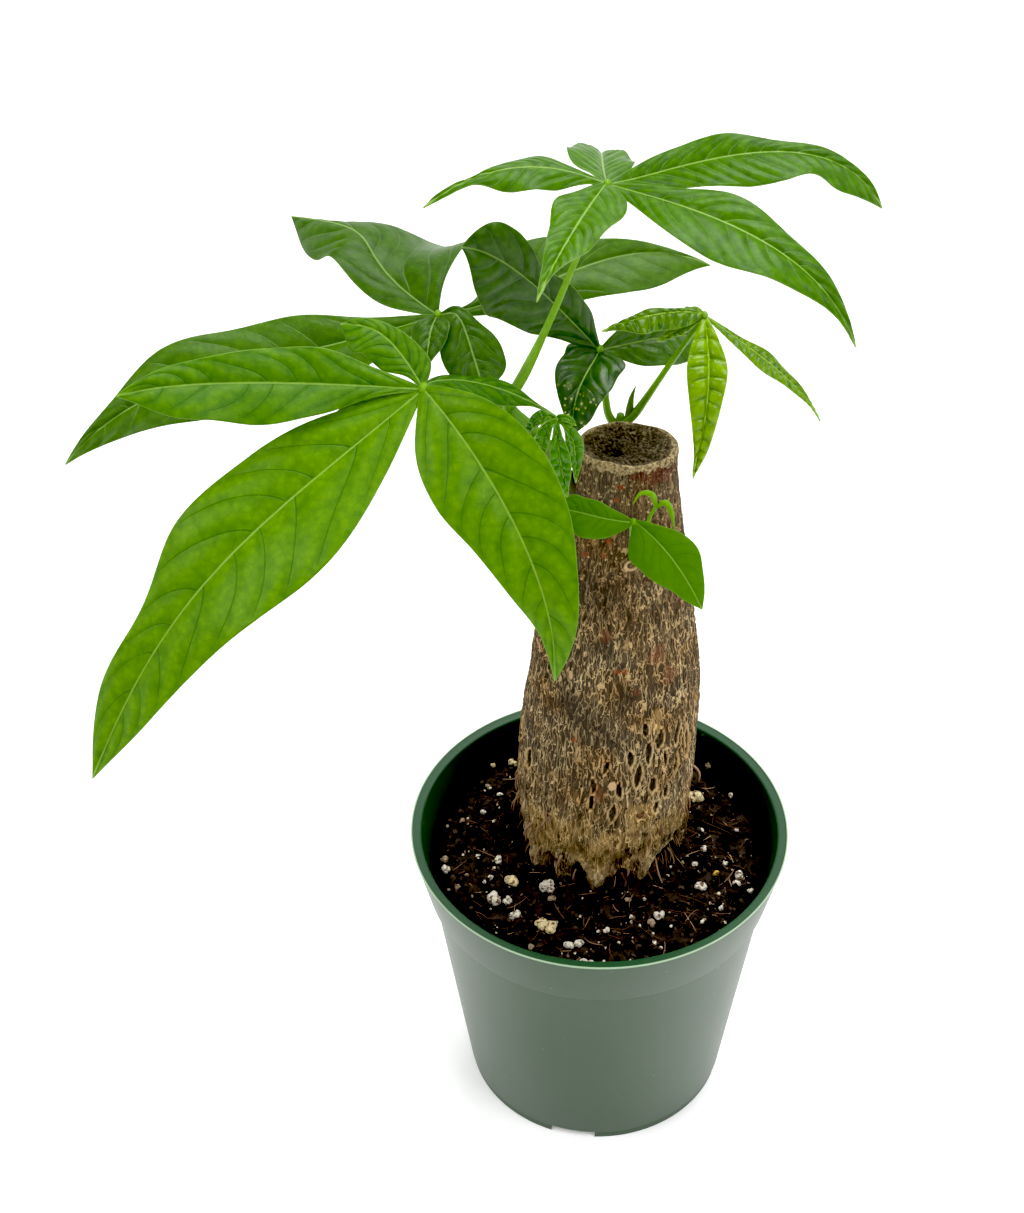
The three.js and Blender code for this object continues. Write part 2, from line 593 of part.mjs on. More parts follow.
const LEAF_F = {
  hub: [-13.5, -6, 254],
  knuckle: 1.2,
  petiole: [[-19, 9.5, 237.5], [-18, 5, 241], [-16, 0, 249]],
  radii: [1, 0.9, 0.7],
  steps: 7,
  leaflets: [
    { bend: [[-2, -1, 3], [-6, 0, 2]], tip: [-8, 0, -5], face: [-0.4, -0.5, 0.75],
      left: [1, 2, 2, 1.5, 1], right: [1, 2, 2, 1.5, 1], rows: 7, waves: 1, waveHeight: 0.2 },
    { bend: [[-2, -3, 2], [-5, -4, -3]], tip: [-4, -5, -12], face: [-0.3, -0.9, 0.3],
      left: [1, 1.5, 1.5, 1.5, 1], right: [1, 1.5, 1.5, 1.5, 1], rows: 7, waves: 1, waveHeight: 0.2 },
    { bend: [[0, -4, 1], [0, -6, -6]], tip: [3, -5, -22], face: [0, -1, 0.2],
      left: [1, 2, 2, 1.5, 1], right: [1, 2, 2, 1.5, 1], rows: 8, waves: 1, waveHeight: 0.2 },
    { bend: [[2, -2, 2], [6, -3, -4]], tip: [5, -3, -18], face: [0.4, -0.8, 0.3],
      left: [1, 2, 2, 1.5, 1], right: [1, 2, 2, 1.5, 1], rows: 8, waves: 1, waveHeight: 0.2 },
    { bend: [[1, -1, 2], [3, -1, 2]], tip: [5, -1, -1], face: [0.2, -0.6, 0.75],
      left: [1, 1, 1, 1, 0.7], right: [1, 1, 1, 1, 0.7], rows: 6, waves: 1, waveHeight: 0.1 },
  ],
};

const FRONT_SPROUT = {
  hub: [6, -25, 235],
  knuckle: 1.2,
  petiole: [[7, -3, 208.5], [7, -10, 214], [6.5, -17, 221], [6, -22, 229]],
  radii: [1.4, 1.3, 0.9, 0.8],
  leaflets: [
    { bend: [[-11, -2, 3], [-13, -1, 5]], tip: [-20, 1, 4], face: [-0.03, -0.7, 0.71],
      left: [3, 5, 6, 6, 3], right: [2, 3, 4, 4, 4], fold: [0, 4], rows: 9, waves: 2, waveHeight: 0.4 },
    { bend: [[0, 0, 1], [10, -9, -1]], tip: [18, -9, -22], face: [-0.04, -0.63, 0.78],
      left: [3, 6, 7, 5, 3], right: [7, 7, 7, 5, 3], fold: [7, 4], rows: 10, waves: 2, waveHeight: 0.4 },
  ],
};

// The curled young leaf over the front sprout: two thin hooked leaflets on a short stalk.
const CURLED_STALK = [[6.2, -21.5, 228], [9.5, -21, 231], [11, -20, 234], [12.5, -20, 237]];
const CURLED_LEAFLETS = [
  [[12, -20, 236], [11, -20, 240], [8, -20.5, 241], [6, -21.5, 238.5]],
  [[12.2, -20.2, 236.2], [14.5, -20, 237.5], [16, -21, 235], [17, -22, 230]],
];

// ---- shoots ----------------------------------------------------------------------------------

const LEFT_SHOOT = [[-6, 10, 214], [-12, 10, 224], [-17, 10, 234], [-22, 10, 241], [-26, 10, 246]];
const LEFT_SHOOT_RADII = [4, 3.6, 3.1, 2.7, 2.2];
const BACK_SHOOT = [[6, 22, 210], [6, 27, 219], [5, 28.5, 226], [5, 28.5, 231]];
const BACK_SHOOT_RADII = [3.2, 2.8, 2.6, 2.2];
const END_BUD = [[7, 28.5, 228], [7.5, 28.5, 233], [8, 28.5, 237], [9, 28.5, 240.5]];
const END_BUD_RADII = [1.2, 1.5, 1.1, 0.5];

const trunkShape = trunkSolid(0);
const trunkGrown = trunkSolid(SEAT_GAP);
const soilShape = soilSolid(trunkGrown);

const leftShoot = stem(LEFT_SHOOT, LEFT_SHOOT_RADII, 9).subtract(trunkGrown);
const leftShootGrown = stem(LEFT_SHOOT, LEFT_SHOOT_RADII, 9, SEAT_GAP);
const backShoot = joined([stem(BACK_SHOOT, BACK_SHOOT_RADII, 7), stem(END_BUD, END_BUD_RADII, 5)])
  .subtract(trunkGrown);
const backShootGrown = joined([
  stem(BACK_SHOOT, BACK_SHOOT_RADII, 7, SEAT_GAP),
  stem(END_BUD, END_BUD_RADII, 5, SEAT_GAP),
]);
const leafA = compoundLeaf(LEAF_A).subtract(leftShootGrown);
const leafB = compoundLeaf(LEAF_B).subtract(leftShootGrown);
const leafC = compoundLeaf(LEAF_C).subtract(leftShootGrown);
const leafD = compoundLeaf(LEAF_D).subtract(backShootGrown);
const leafE = compoundLeaf(LEAF_E).subtract(backShootGrown);
const leafF = compoundLeaf(LEAF_F).subtract(leftShootGrown);
const curledLeaf = joined([
  stem(CURLED_STALK, [0.7, 0.6], 5),
  ...CURLED_LEAFLETS.map((route) => stem(route, [0.7, 1, 0.8, 0.4], 6)),
]);
const frontSprout = joined([compoundLeaf(FRONT_SPROUT), curledLeaf]).subtract(trunkGrown);

// ---- assembly --------------------------------------------------------------------------------

const group = new THREE.Group();
group.add(part('pot', potSolid(), { color: 0x4f6b54, roughness: 0.55 }));
group.add(part('soil', soilShape, { color: 0x2a211b, roughness: 0.95 }));
group.add(part('trunk', trunkShape, { color: 0x8a7356, roughness: 0.9 }));
group.add(part('left_shoot', leftShoot, { color: 0x6f7f3f, roughness: 0.7 }));
group.add(part('back_shoot', backShoot, { color: 0x6d9a3c, roughness: 0.6 }));
group.add(part('leaf_a', leafA, { color: 0x4f8a1e, roughness: 0.45 }));
group.add(part('leaf_b', leafB, { color: 0x46802a, roughness: 0.45 }));
group.add(part('leaf_c', leafC, { color: 0x5a9430, roughness: 0.45 }));
group.add(part('leaf_d', leafD, { color: 0x2c6a2c, roughness: 0.4 }));
group.add(part('leaf_e', leafE, { color: 0x6aa51e, roughness: 0.3 }));
group.add(part('leaf_f', leafF, { color: 0x5c9c2c, roughness: 0.25 }));
group.add(part('front_sprout', frontSprout, { color: 0x55962a, roughness: 0.4 }));

export default group;
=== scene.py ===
"""A young money tree in a green nursery pot, put together in the order of the real thing:
pot, potting mix, stump, shoots, leaves. Sizes in the sections are millimetres, and every mesh
is written in metres in the frame's own axes: X to the right, Y away from the viewer, Z up."""
import math

import bpy
import numpy as np
from mathutils import Matrix, Vector


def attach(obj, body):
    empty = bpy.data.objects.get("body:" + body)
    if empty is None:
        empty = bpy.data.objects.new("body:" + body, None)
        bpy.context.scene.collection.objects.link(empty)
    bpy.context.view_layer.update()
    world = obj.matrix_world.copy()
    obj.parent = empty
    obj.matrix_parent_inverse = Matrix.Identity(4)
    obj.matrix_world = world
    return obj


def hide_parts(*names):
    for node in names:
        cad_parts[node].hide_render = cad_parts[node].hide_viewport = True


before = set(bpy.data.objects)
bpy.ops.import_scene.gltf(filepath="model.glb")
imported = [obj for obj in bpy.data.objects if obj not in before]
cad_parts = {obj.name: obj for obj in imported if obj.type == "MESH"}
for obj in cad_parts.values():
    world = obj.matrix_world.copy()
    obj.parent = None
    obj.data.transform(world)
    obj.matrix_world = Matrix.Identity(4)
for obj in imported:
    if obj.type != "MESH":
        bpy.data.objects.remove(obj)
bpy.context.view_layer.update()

# ---- viewpoint and studio --------------------------------------------------------------------
# The plant stands on a white table that glows a little, seen from 70 cm away and 40 degrees above.
# Three soft boxes light it from high up: the strongest behind it, the others to its right and left.
MM = 0.001
EYE = (-25.6, -512.5, 618.2)
LOOK_DOWN = math.radians(40.14)
ROLL = math.radians(-0.66)
FOCAL_PIXELS = 2400
PICTURE_HEIGHT = 1213
SENSOR = 36


def paint(hexa):
    """An sRGB hex colour as linear red, green, blue and 1: the low end is a line, the rest a power."""
    levels = [int(hexa[i:i + 2], 16) / 255 for i in (1, 3, 5)]
    return [c / 12.92 if c <= 0.04045 else ((c + 0.055) / 1.055) ** 2.4 for c in levels] + [1.0]


def add(tree, kind, inputs=(), **settings):
    """A shader node of that kind with its settings, and its inputs filled by values or by links."""
    made = tree.nodes.new("ShaderNode" + kind)
    for name, value in settings.items():
        setattr(made, name, value)
    for place, value in dict(inputs).items():
        if isinstance(value, bpy.types.NodeSocket):
            tree.links.new(value, made.inputs[place])
        else:
            made.inputs[place].default_value = value
    return made


def new_finish(name, **sockets):
    """A material of that name, its node tree and its shader, with the shader's sockets set."""
    finish = bpy.data.materials.new(name)
    finish.use_nodes = True
    finish.node_tree.nodes.clear()
    shader = add(finish.node_tree, "BsdfPrincipled", {k.replace("_", " "): v for k, v in sockets.items()})
    add(finish.node_tree, "OutputMaterial", {"Surface": shader.outputs[0]})
    return finish, finish.node_tree, shader


def place_eye():
    """The eye's place and axes: right and up, turned by the roll about the sight line that dips."""
    level_right = np.array([1.0, 0.0, 0.0])
    level_up = np.array([0.0, math.sin(LOOK_DOWN), math.cos(LOOK_DOWN)])
    sight = np.array([0.0, math.cos(LOOK_DOWN), -math.sin(LOOK_DOWN)])
    right = level_right * math.cos(ROLL) + level_up * math.sin(ROLL)
    up = level_up * math.cos(ROLL) - level_right * math.sin(ROLL)
    columns = [right, up, -sight, np.array(EYE) * MM]
    return Matrix([[*(c[row] for c in columns)] for row in range(3)] + [[0, 0, 0, 1]])


eye = bpy.data.objects.new("eye", bpy.data.cameras.new("eye"))
bpy.context.scene.collection.objects.link(eye)
eye.data.sensor_width = SENSOR
eye.data.lens = SENSOR * FOCAL_PIXELS / PICTURE_HEIGHT
eye.data.clip_start = 0.05
eye.matrix_world = place_eye()
bpy.context.scene.camera = eye

BLACK_LEVEL = 0.024                # light weaker than this is black in the picture
picture = bpy.context.scene.view_settings
picture.view_transform = "Standard"
picture.use_curve_mapping = True
picture.curve_mapping.black_level = (BLACK_LEVEL, BLACK_LEVEL, BLACK_LEVEL)
picture.curve_mapping.update()

TABLE_HALF = 4.0
table = bpy.data.objects.new("table", bpy.data.meshes.new("table"))
table.data.from_pydata(
    [(x, y, 0) for x, y in ((-1, -1), (1, -1), (1, 1), (-1, 1))], [], [(0, 1, 2, 3)])
table.data.transform(Matrix.Scale(TABLE_HALF, 4))
bpy.context.scene.collection.objects.link(table)
table_finish, _, _ = new_finish("white_acrylic", Base_Color=paint("#F2F2F2"), Roughness=0.6,
                                Emission_Color=paint("#FFFFFF"), Emission_Strength=0.25)
table.data.materials.append(table_finish)

LAMP_AIM = (0, 0, 0.17)
LAMPS = (
    # name, place, width, power in watts
    ("soft_box_behind", (0.45, 1.05, 2.6), 1.9, 66),
    ("soft_box_right", (1.6, -1.3, 2.4), 1.4, 42),
    ("soft_box_left", (-1.9, -0.9, 2.4), 1.4, 38),
)
for lamp_name, place, width, power in LAMPS:
    lamp = bpy.data.objects.new(lamp_name, bpy.data.lights.new(lamp_name, "AREA"))
    lamp.data.size = width
    lamp.data.energy = power
    lamp.location = place
    lamp.rotation_euler = (Vector(LAMP_AIM) - lamp.location).to_track_quat("-Z", "Y").to_euler()
    bpy.context.scene.collection.objects.link(lamp)

# The room: white walls up to 10 degrees above the table, which dim to a dark ceiling by 27 degrees
# and towards the viewer.
room = bpy.data.worlds.new("studio")
room.use_nodes = True
bpy.context.scene.world = room
WALL_LIGHT, CEILING_LIGHT, NEAR_WALL = 1.5, 0.42, 0.4
way = add(room.node_tree, "TexCoord").outputs["Generated"]
way = add(room.node_tree, "SeparateXYZ", {0: way})
far = add(room.node_tree, "MapRange", {"Value": way.outputs[1], "From Min": -0.85, "From Max": -0.1,
                                       "To Min": WALL_LIGHT * NEAR_WALL, "To Max": WALL_LIGHT}).outputs[0]
glow = add(room.node_tree, "MapRange", {"Value": way.outputs[2], "From Min": 0.17, "From Max": 0.45,
                                        "To Min": far, "To Max": CEILING_LIGHT},
           interpolation_type="SMOOTHSTEP").outputs[0]
room.node_tree.links.new(glow, room.node_tree.nodes["Background"].inputs["Strength"])
room.node_tree.nodes["Background"].inputs["Color"].default_value = paint("#FFFFFF")

# ---- nursery pot -----------------------------------------------------------------------------
# One thin-walled pot, injection moulded in green polypropylene: a deep rolled rim band, a tapered
# wall, a raised drain channel with four holes, and a foot ring with four notches.
POT_HEIGHT = 99
RIM_RADIUS = 57
RIM_LIP = 3.8
RIM_BAND = 19.5
BAND_FOOT_RADIUS = 52.6
BODY_TOP_RADIUS = 51.2
FOOT_RADIUS = 40.3
FOOT_HEIGHT = 3
FOOT_WIDTH = 2.4
POT_WALL = 1.5
FLOOR_PAD_RADIUS = 26
CHANNEL_HEIGHT = 3.5
NOTCH_WIDTH = 14
NOTCH_TURN = math.radians(-102)
DRAIN_HOLE_RADIUS = 4
DRAIN_HOLE_AT = 32
HOLE_SIDES = 32
POT_SIDES = 240
INNER_DRAFT = 0.18                 # how much the inner wall leans outwards for each mm up


def drift(u, v, seed, wrap=256):
    """Smooth random values from -1 to 1: one knot at each whole u and v, eased between the knots."""
    knots = np.random.default_rng(seed).uniform(-1, 1, (256, 256))
    column, row = np.floor(u).astype(int), np.floor(v).astype(int)
    across, along = u - column, v - row
    across, along = (t * t * (3 - 2 * t) for t in (across, along))
    low = knots[row % 256, column % wrap] * (1 - across) + knots[row % 256, (column + 1) % wrap] * across
    row = row + 1
    high = knots[row % 256, column % wrap] * (1 - across) + knots[row % 256, (column + 1) % wrap] * across
    return low * (1 - along) + high * along


def grid_faces(rows, columns, wrap=False):
    """The four corners of each cell between neighbouring rows and columns of a grid of points."""
    row, column = np.meshgrid(np.arange(rows - 1), np.arange(columns - (not wrap)), indexing="ij")
    here, beside = row * columns + column, row * columns + (column + 1) % columns
    return np.stack([here, beside, beside + columns, here + columns], -1).reshape(-1, 4)


def tube_faces(rows, columns, turned=False):
    """Faces of closed rings and of the two poles that follow them: the first ring's, the last one's.
    They are turned over where the rings run the other way."""
    ring, pole = np.arange(columns), np.full(columns, rows * columns)
    following, last = np.roll(ring, -1), (rows - 1) * columns
    faces = [grid_faces(rows, columns, wrap=True), np.stack([following, ring, pole], -1),
             np.stack([ring + last, following + last, pole + 1], -1)]
    return [f[:, ::-1] for f in faces] if turned else faces


def make_piece(name, points, faces, finish, values=(), sharp=40, body="root"):
    """A piece of the plant: points in mm, lists of three- and four-cornered faces, values by point."""
    corners = np.concatenate([f.ravel() for f in faces])
    sizes = np.concatenate([np.full(len(f), f.shape[1]) for f in faces])
    mesh = bpy.data.meshes.new(name)
    mesh.vertices.add(len(points))
    mesh.vertices.foreach_set("co", (np.asarray(points, np.float64) * MM).astype(np.float32).ravel())
    mesh.loops.add(len(corners))
    mesh.polygons.add(len(sizes))
    mesh.polygons.foreach_set("loop_start", np.concatenate([[0], np.cumsum(sizes)[:-1]]))
    mesh.loops.foreach_set("vertex_index", corners)
    mesh.update(calc_edges=True)
    mesh.validate()
    for value_name, numbers in dict(values).items():
        layer = mesh.attributes.new(value_name, "FLOAT", "POINT")
        layer.data.foreach_set("value", np.asarray(numbers, np.float32).ravel())
    mesh.shade_smooth()
    if sharp:
        mesh.set_sharp_from_angle(angle=math.radians(sharp))
    piece = bpy.data.objects.new(name, mesh)
    bpy.context.scene.collection.objects.link(piece)
    mesh.materials.append(finish)
    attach(piece, body)
    return piece


def rounded(corners, steps=5):
    """A closed outline with each corner (r, z, rounding) cut by a parabola that starts and ends at
    the rounding's distance from it, or at two fifths of a shorter side."""
    at = np.array([c[:2] for c in corners], float)
    radius = np.array([c[2] for c in corners], float)
    before, after = np.roll(at, 1, 0) - at, np.roll(at, -1, 0) - at
    reach = []
    for side in (before, after):
        length = np.linalg.norm(side, axis=1)
        reach.append(at + side / length[:, None] * np.minimum(radius, 0.4 * length)[:, None])
    t = np.linspace(0, 1, steps)[None, :, None]
    curve = (1 - t) ** 2 * reach[0][:, None] + 2 * t * (1 - t) * at[:, None] + t ** 2 * reach[1][:, None]
    return curve.reshape(-1, 2)


def lathe(outline, sides):
    """The outline turned about the Z axis: x = r cos(turn), y = r sin(turn), z = z."""
    turn = np.arange(sides) * 2 * math.pi / sides
    radius, height = outline[:, 0][:, None], outline[:, 1][:, None]
    return np.stack([radius * np.cos(turn), radius * np.sin(turn), height + 0 * turn], -1)


def cut_with(piece, cutters):
    """Cuts the closed cutters out of the piece, applies the cut and removes the cutters."""
    for cutter in cutters:
        cut = piece.modifiers.new("cut", "BOOLEAN")
        cut.object, cut.solver, cut.operation = cutter, "EXACT", "DIFFERENCE"
    bpy.context.view_layer.update()
    finished = bpy.data.meshes.new_from_object(piece.evaluated_get(bpy.context.evaluated_depsgraph_get()))
    piece.modifiers.clear()
    piece.data = finished
    for cutter in cutters:
        bpy.data.objects.remove(cutter)


band_foot = POT_HEIGHT - RIM_BAND
inner_rim = RIM_RADIUS - RIM_LIP
floor_top = CHANNEL_HEIGHT + POT_WALL
body_foot = FOOT_RADIUS + 0.5
inner_foot = body_foot + (BODY_TOP_RADIUS - body_foot) * (floor_top - FOOT_HEIGHT) / (band_foot - FOOT_HEIGHT)
POT_OUTLINE = (
    # radius, height and rounding: out along the underside, up the outside and back down the inside
    (8, 0, 0.1),
    (FLOOR_PAD_RADIUS, 0, 0.4),
    (FLOOR_PAD_RADIUS + 1, CHANNEL_HEIGHT, 0.4),
    (FOOT_RADIUS - FOOT_WIDTH, CHANNEL_HEIGHT, 0.4),
    (FOOT_RADIUS - FOOT_WIDTH, 0, 0.3),
    (FOOT_RADIUS, 0, 0.4),
    (FOOT_RADIUS, FOOT_HEIGHT, 0.1),
    (FOOT_RADIUS + 0.5, FOOT_HEIGHT, 0.3),
    (BODY_TOP_RADIUS, band_foot, 0.3),
    (BAND_FOOT_RADIUS, band_foot + 0.6, 0.4),
    (RIM_RADIUS - 0.3, POT_HEIGHT - 1.1, 0.2),
    (RIM_RADIUS - 0.3, POT_HEIGHT - 0.5, 0.1),
    (RIM_RADIUS, POT_HEIGHT - 0.3, 0.15),
    (RIM_RADIUS, POT_HEIGHT, 0.12),
    (RIM_RADIUS - 0.45, POT_HEIGHT - 0.05, 0.1),
    (RIM_RADIUS - 0.6, POT_HEIGHT - 0.3, 0.2),
    (inner_rim + 0.7, POT_HEIGHT - 0.35, 0.6),
    (BODY_TOP_RADIUS - POT_WALL + 0.6, band_foot + 3, 2),
    (BODY_TOP_RADIUS - POT_WALL, band_foot - 2, 2),
    (inner_foot - POT_WALL, floor_top, 1.5),
    (8, floor_top, 0.1),
)
pot_outline = rounded(POT_OUTLINE)
pot_points = np.vstack([lathe(pot_outline, POT_SIDES).reshape(-1, 3), [[0, 0, 0], [0, 0, floor_top]]])

# Moulded polypropylene: a satin skin that picks up the white room at a slant, with faint flow
# marks in the green, a fine grain and small pale scuffs. Painted light on it: the rim's top is
# darkened as painted shade, its outer edge carries a thin painted highlight, and the inner wall is
# painted near black as painted shade inside the pot.
pot_finish, tree, shader = new_finish("moulded_polypropylene", IOR=1.49, Roughness=0.36)
place = add(tree, "TexCoord").outputs["Object"]
flow = add(tree, "TexNoise", {"Vector": place, "Scale": 26.0, "Detail": 3.0}).outputs["Fac"]
green = add(tree, "Mix", {0: flow, 6: paint("#2A412A"), 7: paint("#334B31")}, data_type="RGBA").outputs[2]
grime = add(tree, "TexNoise", {"Vector": place, "Scale": 420.0, "Detail": 2.0}).outputs["Fac"]
speck = add(tree, "MapRange", {"Value": grime, "From Min": 0.73, "From Max": 0.8}).outputs[0]
scuffed = add(tree, "Mix", {0: speck, 6: green, 7: paint("#627C5F")}, data_type="RGBA").outputs[2]
height = add(tree, "SeparateXYZ", {0: place}).outputs[2]
lip = add(tree, "MapRange", {"Value": height, "From Min": (POT_HEIGHT - 1.0) * MM,
                             "From Max": (POT_HEIGHT - 0.5) * MM}).outputs[0]
# The rim's top is a darker green than the rest of the pot: painted shade.
shaded_rim_top = add(tree, "Mix", {0: lip, 6: scuffed, 7: paint("#284B30")}, data_type="RGBA").outputs[2]
level_place = add(tree, "VectorMath", {0: place, 1: (1.0, 1.0, 0.0)}, operation="MULTIPLY").outputs[0]
away = add(tree, "VectorMath", {0: level_place}, operation="LENGTH").outputs[1]
# A thin pale line round the outer edge of the rim's top: painted highlight.
rim_edge_highlight = add(tree, "MapRange", {"Value": away, "From Min": (RIM_RADIUS - 0.55) * MM,
                               "From Max": (RIM_RADIUS - 0.35) * MM}).outputs[0]
rim_edge_highlight = add(tree, "Math", {0: rim_edge_highlight, 1: lip}, operation="MULTIPLY").outputs[0]
edged = add(tree, "Mix", {0: rim_edge_highlight, 6: shaded_rim_top, 7: paint("#9DB597")}, data_type="RGBA").outputs[2]
# The inner wall below the lip is painted near black: painted shade inside the pot.
inner_face = add(tree, "Math", {0: height, 1: -INNER_DRAFT, 2: away}, operation="MULTIPLY_ADD").outputs[0]
inner_line = inner_rim - INNER_DRAFT * POT_HEIGHT
inner_face = add(tree, "MapRange", {"Value": inner_face, "From Min": (inner_line + 0.6) * MM,
                                    "From Max": (inner_line - 0.3) * MM}).outputs[0]
inner_wall_shade = add(tree, "Mix", {0: inner_face, 6: edged, 7: paint("#151814")}, data_type="RGBA").outputs[2]
tree.links.new(inner_wall_shade, shader.inputs["Base Color"])
shine = add(tree, "MapRange", {"Value": lip, "To Min": 0.5, "To Max": 0.25}).outputs[0]
tree.links.new(shine, shader.inputs["Specular IOR Level"])
grain = add(tree, "TexNoise", {"Vector": place, "Scale": 1400.0, "Detail": 1.0}).outputs["Fac"]
skin = add(tree, "Bump", {"Height": grain, "Strength": 0.12, "Distance": 0.0002})
tree.links.new(skin.outputs[0], shader.inputs["Normal"])

pot = make_piece("pot_shell", pot_points, tube_faces(len(pot_outline), POT_SIDES), pot_finish,
                 sharp=0)
cutters = []
for quarter in range(4):
    turn = NOTCH_TURN + quarter * math.pi / 2
    box = bpy.data.meshes.new("notch")
    box.from_pydata(
        [(x, y, z) for x in (FOOT_RADIUS - 5, FOOT_RADIUS + 5) for y in (-NOTCH_WIDTH / 2, NOTCH_WIDTH / 2)
         for z in (-1, FOOT_HEIGHT - 0.2)], [],
        [(0, 1, 3, 2), (4, 6, 7, 5), (0, 4, 5, 1), (2, 3, 7, 6), (0, 2, 6, 4), (1, 5, 7, 3)])
    drill = bpy.data.meshes.new("drill")
    sides = range(HOLE_SIDES)
    angles = [2 * math.pi * k / HOLE_SIDES for k in sides]
    drill.from_pydata(
        [(DRAIN_HOLE_AT + DRAIN_HOLE_RADIUS * math.cos(a), DRAIN_HOLE_RADIUS * math.sin(a), z)
         for z in (-1, floor_top + 3) for a in angles], [],
        [tuple(reversed(sides)), tuple(HOLE_SIDES + k for k in sides)]
        + [(k, (k + 1) % HOLE_SIDES, HOLE_SIDES + (k + 1) % HOLE_SIDES, HOLE_SIDES + k) for k in sides])
    for tool in (box, drill):
        tool.transform(Matrix.Rotation(turn, 4, "Z") @ Matrix.Scale(MM, 4))
        cutters.append(bpy.data.objects.new(tool.name, tool))
        bpy.context.scene.collection.objects.link(cutters[-1])
cut_with(pot, cutters)
pot.data.shade_smooth()
pot.data.set_sharp_from_angle(angle=math.radians(32))
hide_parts("pot")

# ---- potting mix -----------------------------------------------------------------------------
# Dark peat, filled to 12 mm under the rim and mounded round the stump, with peat crumbs, bark
# fibres and white grains of perlite, each grain a puffed, pitted ball of volcanic glass.
SOIL_HEIGHT = 86.5
SOIL_EDGE = BODY_TOP_RADIUS - POT_WALL - 0.5
SOIL_RIM = 84
WALL_GAP = 0.8
FLOOR_GAP = 0.3
TRUNK_Y = 10
SOIL_RINGS = 110
SOIL_SPOKES = 300
PERLITE = (
    # x, y, size and kind of the grains that show best: white, cream, tan or yellow
    (31, 22, 2.5, "cream"), (42, 23, 1.0, "white"), (36, 37, 1.5, "tan"), (46, 33, 1.0, "tan"),
    (-30, 25, 1.0, "white"), (-35, 17, 1.0, "white"), (-34, 29, 1.0, "tan"), (-32, 38, 1.0, "cream"),
    (-26, 39, 1.5, "cream"), (-42, 13, 1.0, "tan"), (-37, -1, 1.0, "white"), (-31, -3, 1.5, "white"),
    (-47, -7, 1.5, "white"), (-47, -3, 1.5, "tan"), (-33, -11, 1.0, "white"), (-27, -13, 2.5, "cream"),
    (-32, -19, 2.0, "white"), (-28, -19, 1.5, "white"), (-16, -15, 2.5, "white"), (-15, -20, 1.5, "tan"),
    (-26, -27, 2.0, "white"), (-18, -30, 2.5, "cream"), (-15, -31, 2.0, "cream"), (-14, -29, 1.0, "white"),
    (-10, -37, 1.6, "white"), (-7, -37, 1.5, "white"), (1, -32, 1.2, "white"), (8, -21, 1.0, "tan"),
    (9, -26, 1.0, "white"), (17, -27, 1.6, "white"), (15, -30, 1.5, "tan"), (15, -37, 1.0, "white"),
    (30, -15, 1.7, "white"), (29, -7, 1.0, "white"), (32, 0, 1.2, "white"), (32, 9, 1.0, "white"),
    (35, -10, 1.1, "yellow"), (38, -7, 1.0, "white"), (42, -11, 2.0, "white"), (41, -14, 1.5, "white"),
    (45, -17, 1.0, "white"), (43, 9, 0.7, "white"), (-6, -45, 1.9, "white"), (-3, -45, 1.8, "white"),
    (-21, -38, 1.0, "tan"), (-43, -14, 1.0, "tan"), (30, -30, 1.0, "white"), (36, -24, 1.0, "white"),
)
GRAIN_COLOURS = {"white": 0.0, "cream": 0.4, "tan": 0.7, "yellow": 1.0}


def ground(x, y):
    """The mix's height: the fill line, a mound round the stump, waves, and crumbs of 6, 2 and 1 mm."""
    waves = np.sin(x / 4.1 + y / 7) + np.sin(y / 3.7 - x / 9) + np.sin((x + y) / 2.3) / 2
    mound = 2.5 * np.exp(-(x ** 2 + (y - TRUNK_Y) ** 2) / 1400)
    crumbs = 0.7 * drift(x / 6 + 90, y / 6 + 90, 3) + 0.55 * drift(x / 2.2 + 90, y / 2.2 + 90, 4)
    return SOIL_HEIGHT + mound + 0.35 * waves + crumbs + 0.35 * drift(x / 0.9 + 90, y / 0.9 + 90, 5)


def gather(shells):
    """One mesh from several shells: points end to end, face corners renumbered, values end to end."""
    starts = np.cumsum([0] + [len(s["points"]) for s in shells])
    faces = [f + start for s, start in zip(shells, starts) for f in s["faces"]]
    values = {k: np.concatenate([s["values"][k] for s in shells]) for k in shells[0]["values"]}
    return np.vstack([s["points"] for s in shells]), faces, values


def unit(vectors):
    """Each vector divided by its length."""
    return vectors / np.linalg.norm(vectors, axis=-1, keepdims=True)


def many(points, faces, values):
    """One mesh of many like shells, from every shell's points, one shell's faces, and the values
    of each shell, which are the same all over it."""
    count, each = points.shape[:2]
    offsets = (np.arange(count) * each)[:, None, None]
    return {"points": points.reshape(-1, 3),
            "faces": [(f[None] + offsets).reshape(-1, f.shape[1]) for f in faces],
            "values": {k: np.repeat(np.broadcast_to(v, count), each) for k, v in values.items()}}


def ball(rows, columns):
    """Directions over a ball: rings at even angles between two poles."""
    fall = np.linspace(0, math.pi, rows + 2)[1:-1][:, None]
    turn = (np.arange(columns) * 2 * math.pi / columns)[None]
    ways = np.stack([np.sin(fall) * np.cos(turn), np.sin(fall) * np.sin(turn), -np.cos(fall) + 0 * turn], -1)
    return np.vstack([ways.reshape(-1, 3), [[0, 0, -1], [0, 0, 1]]])


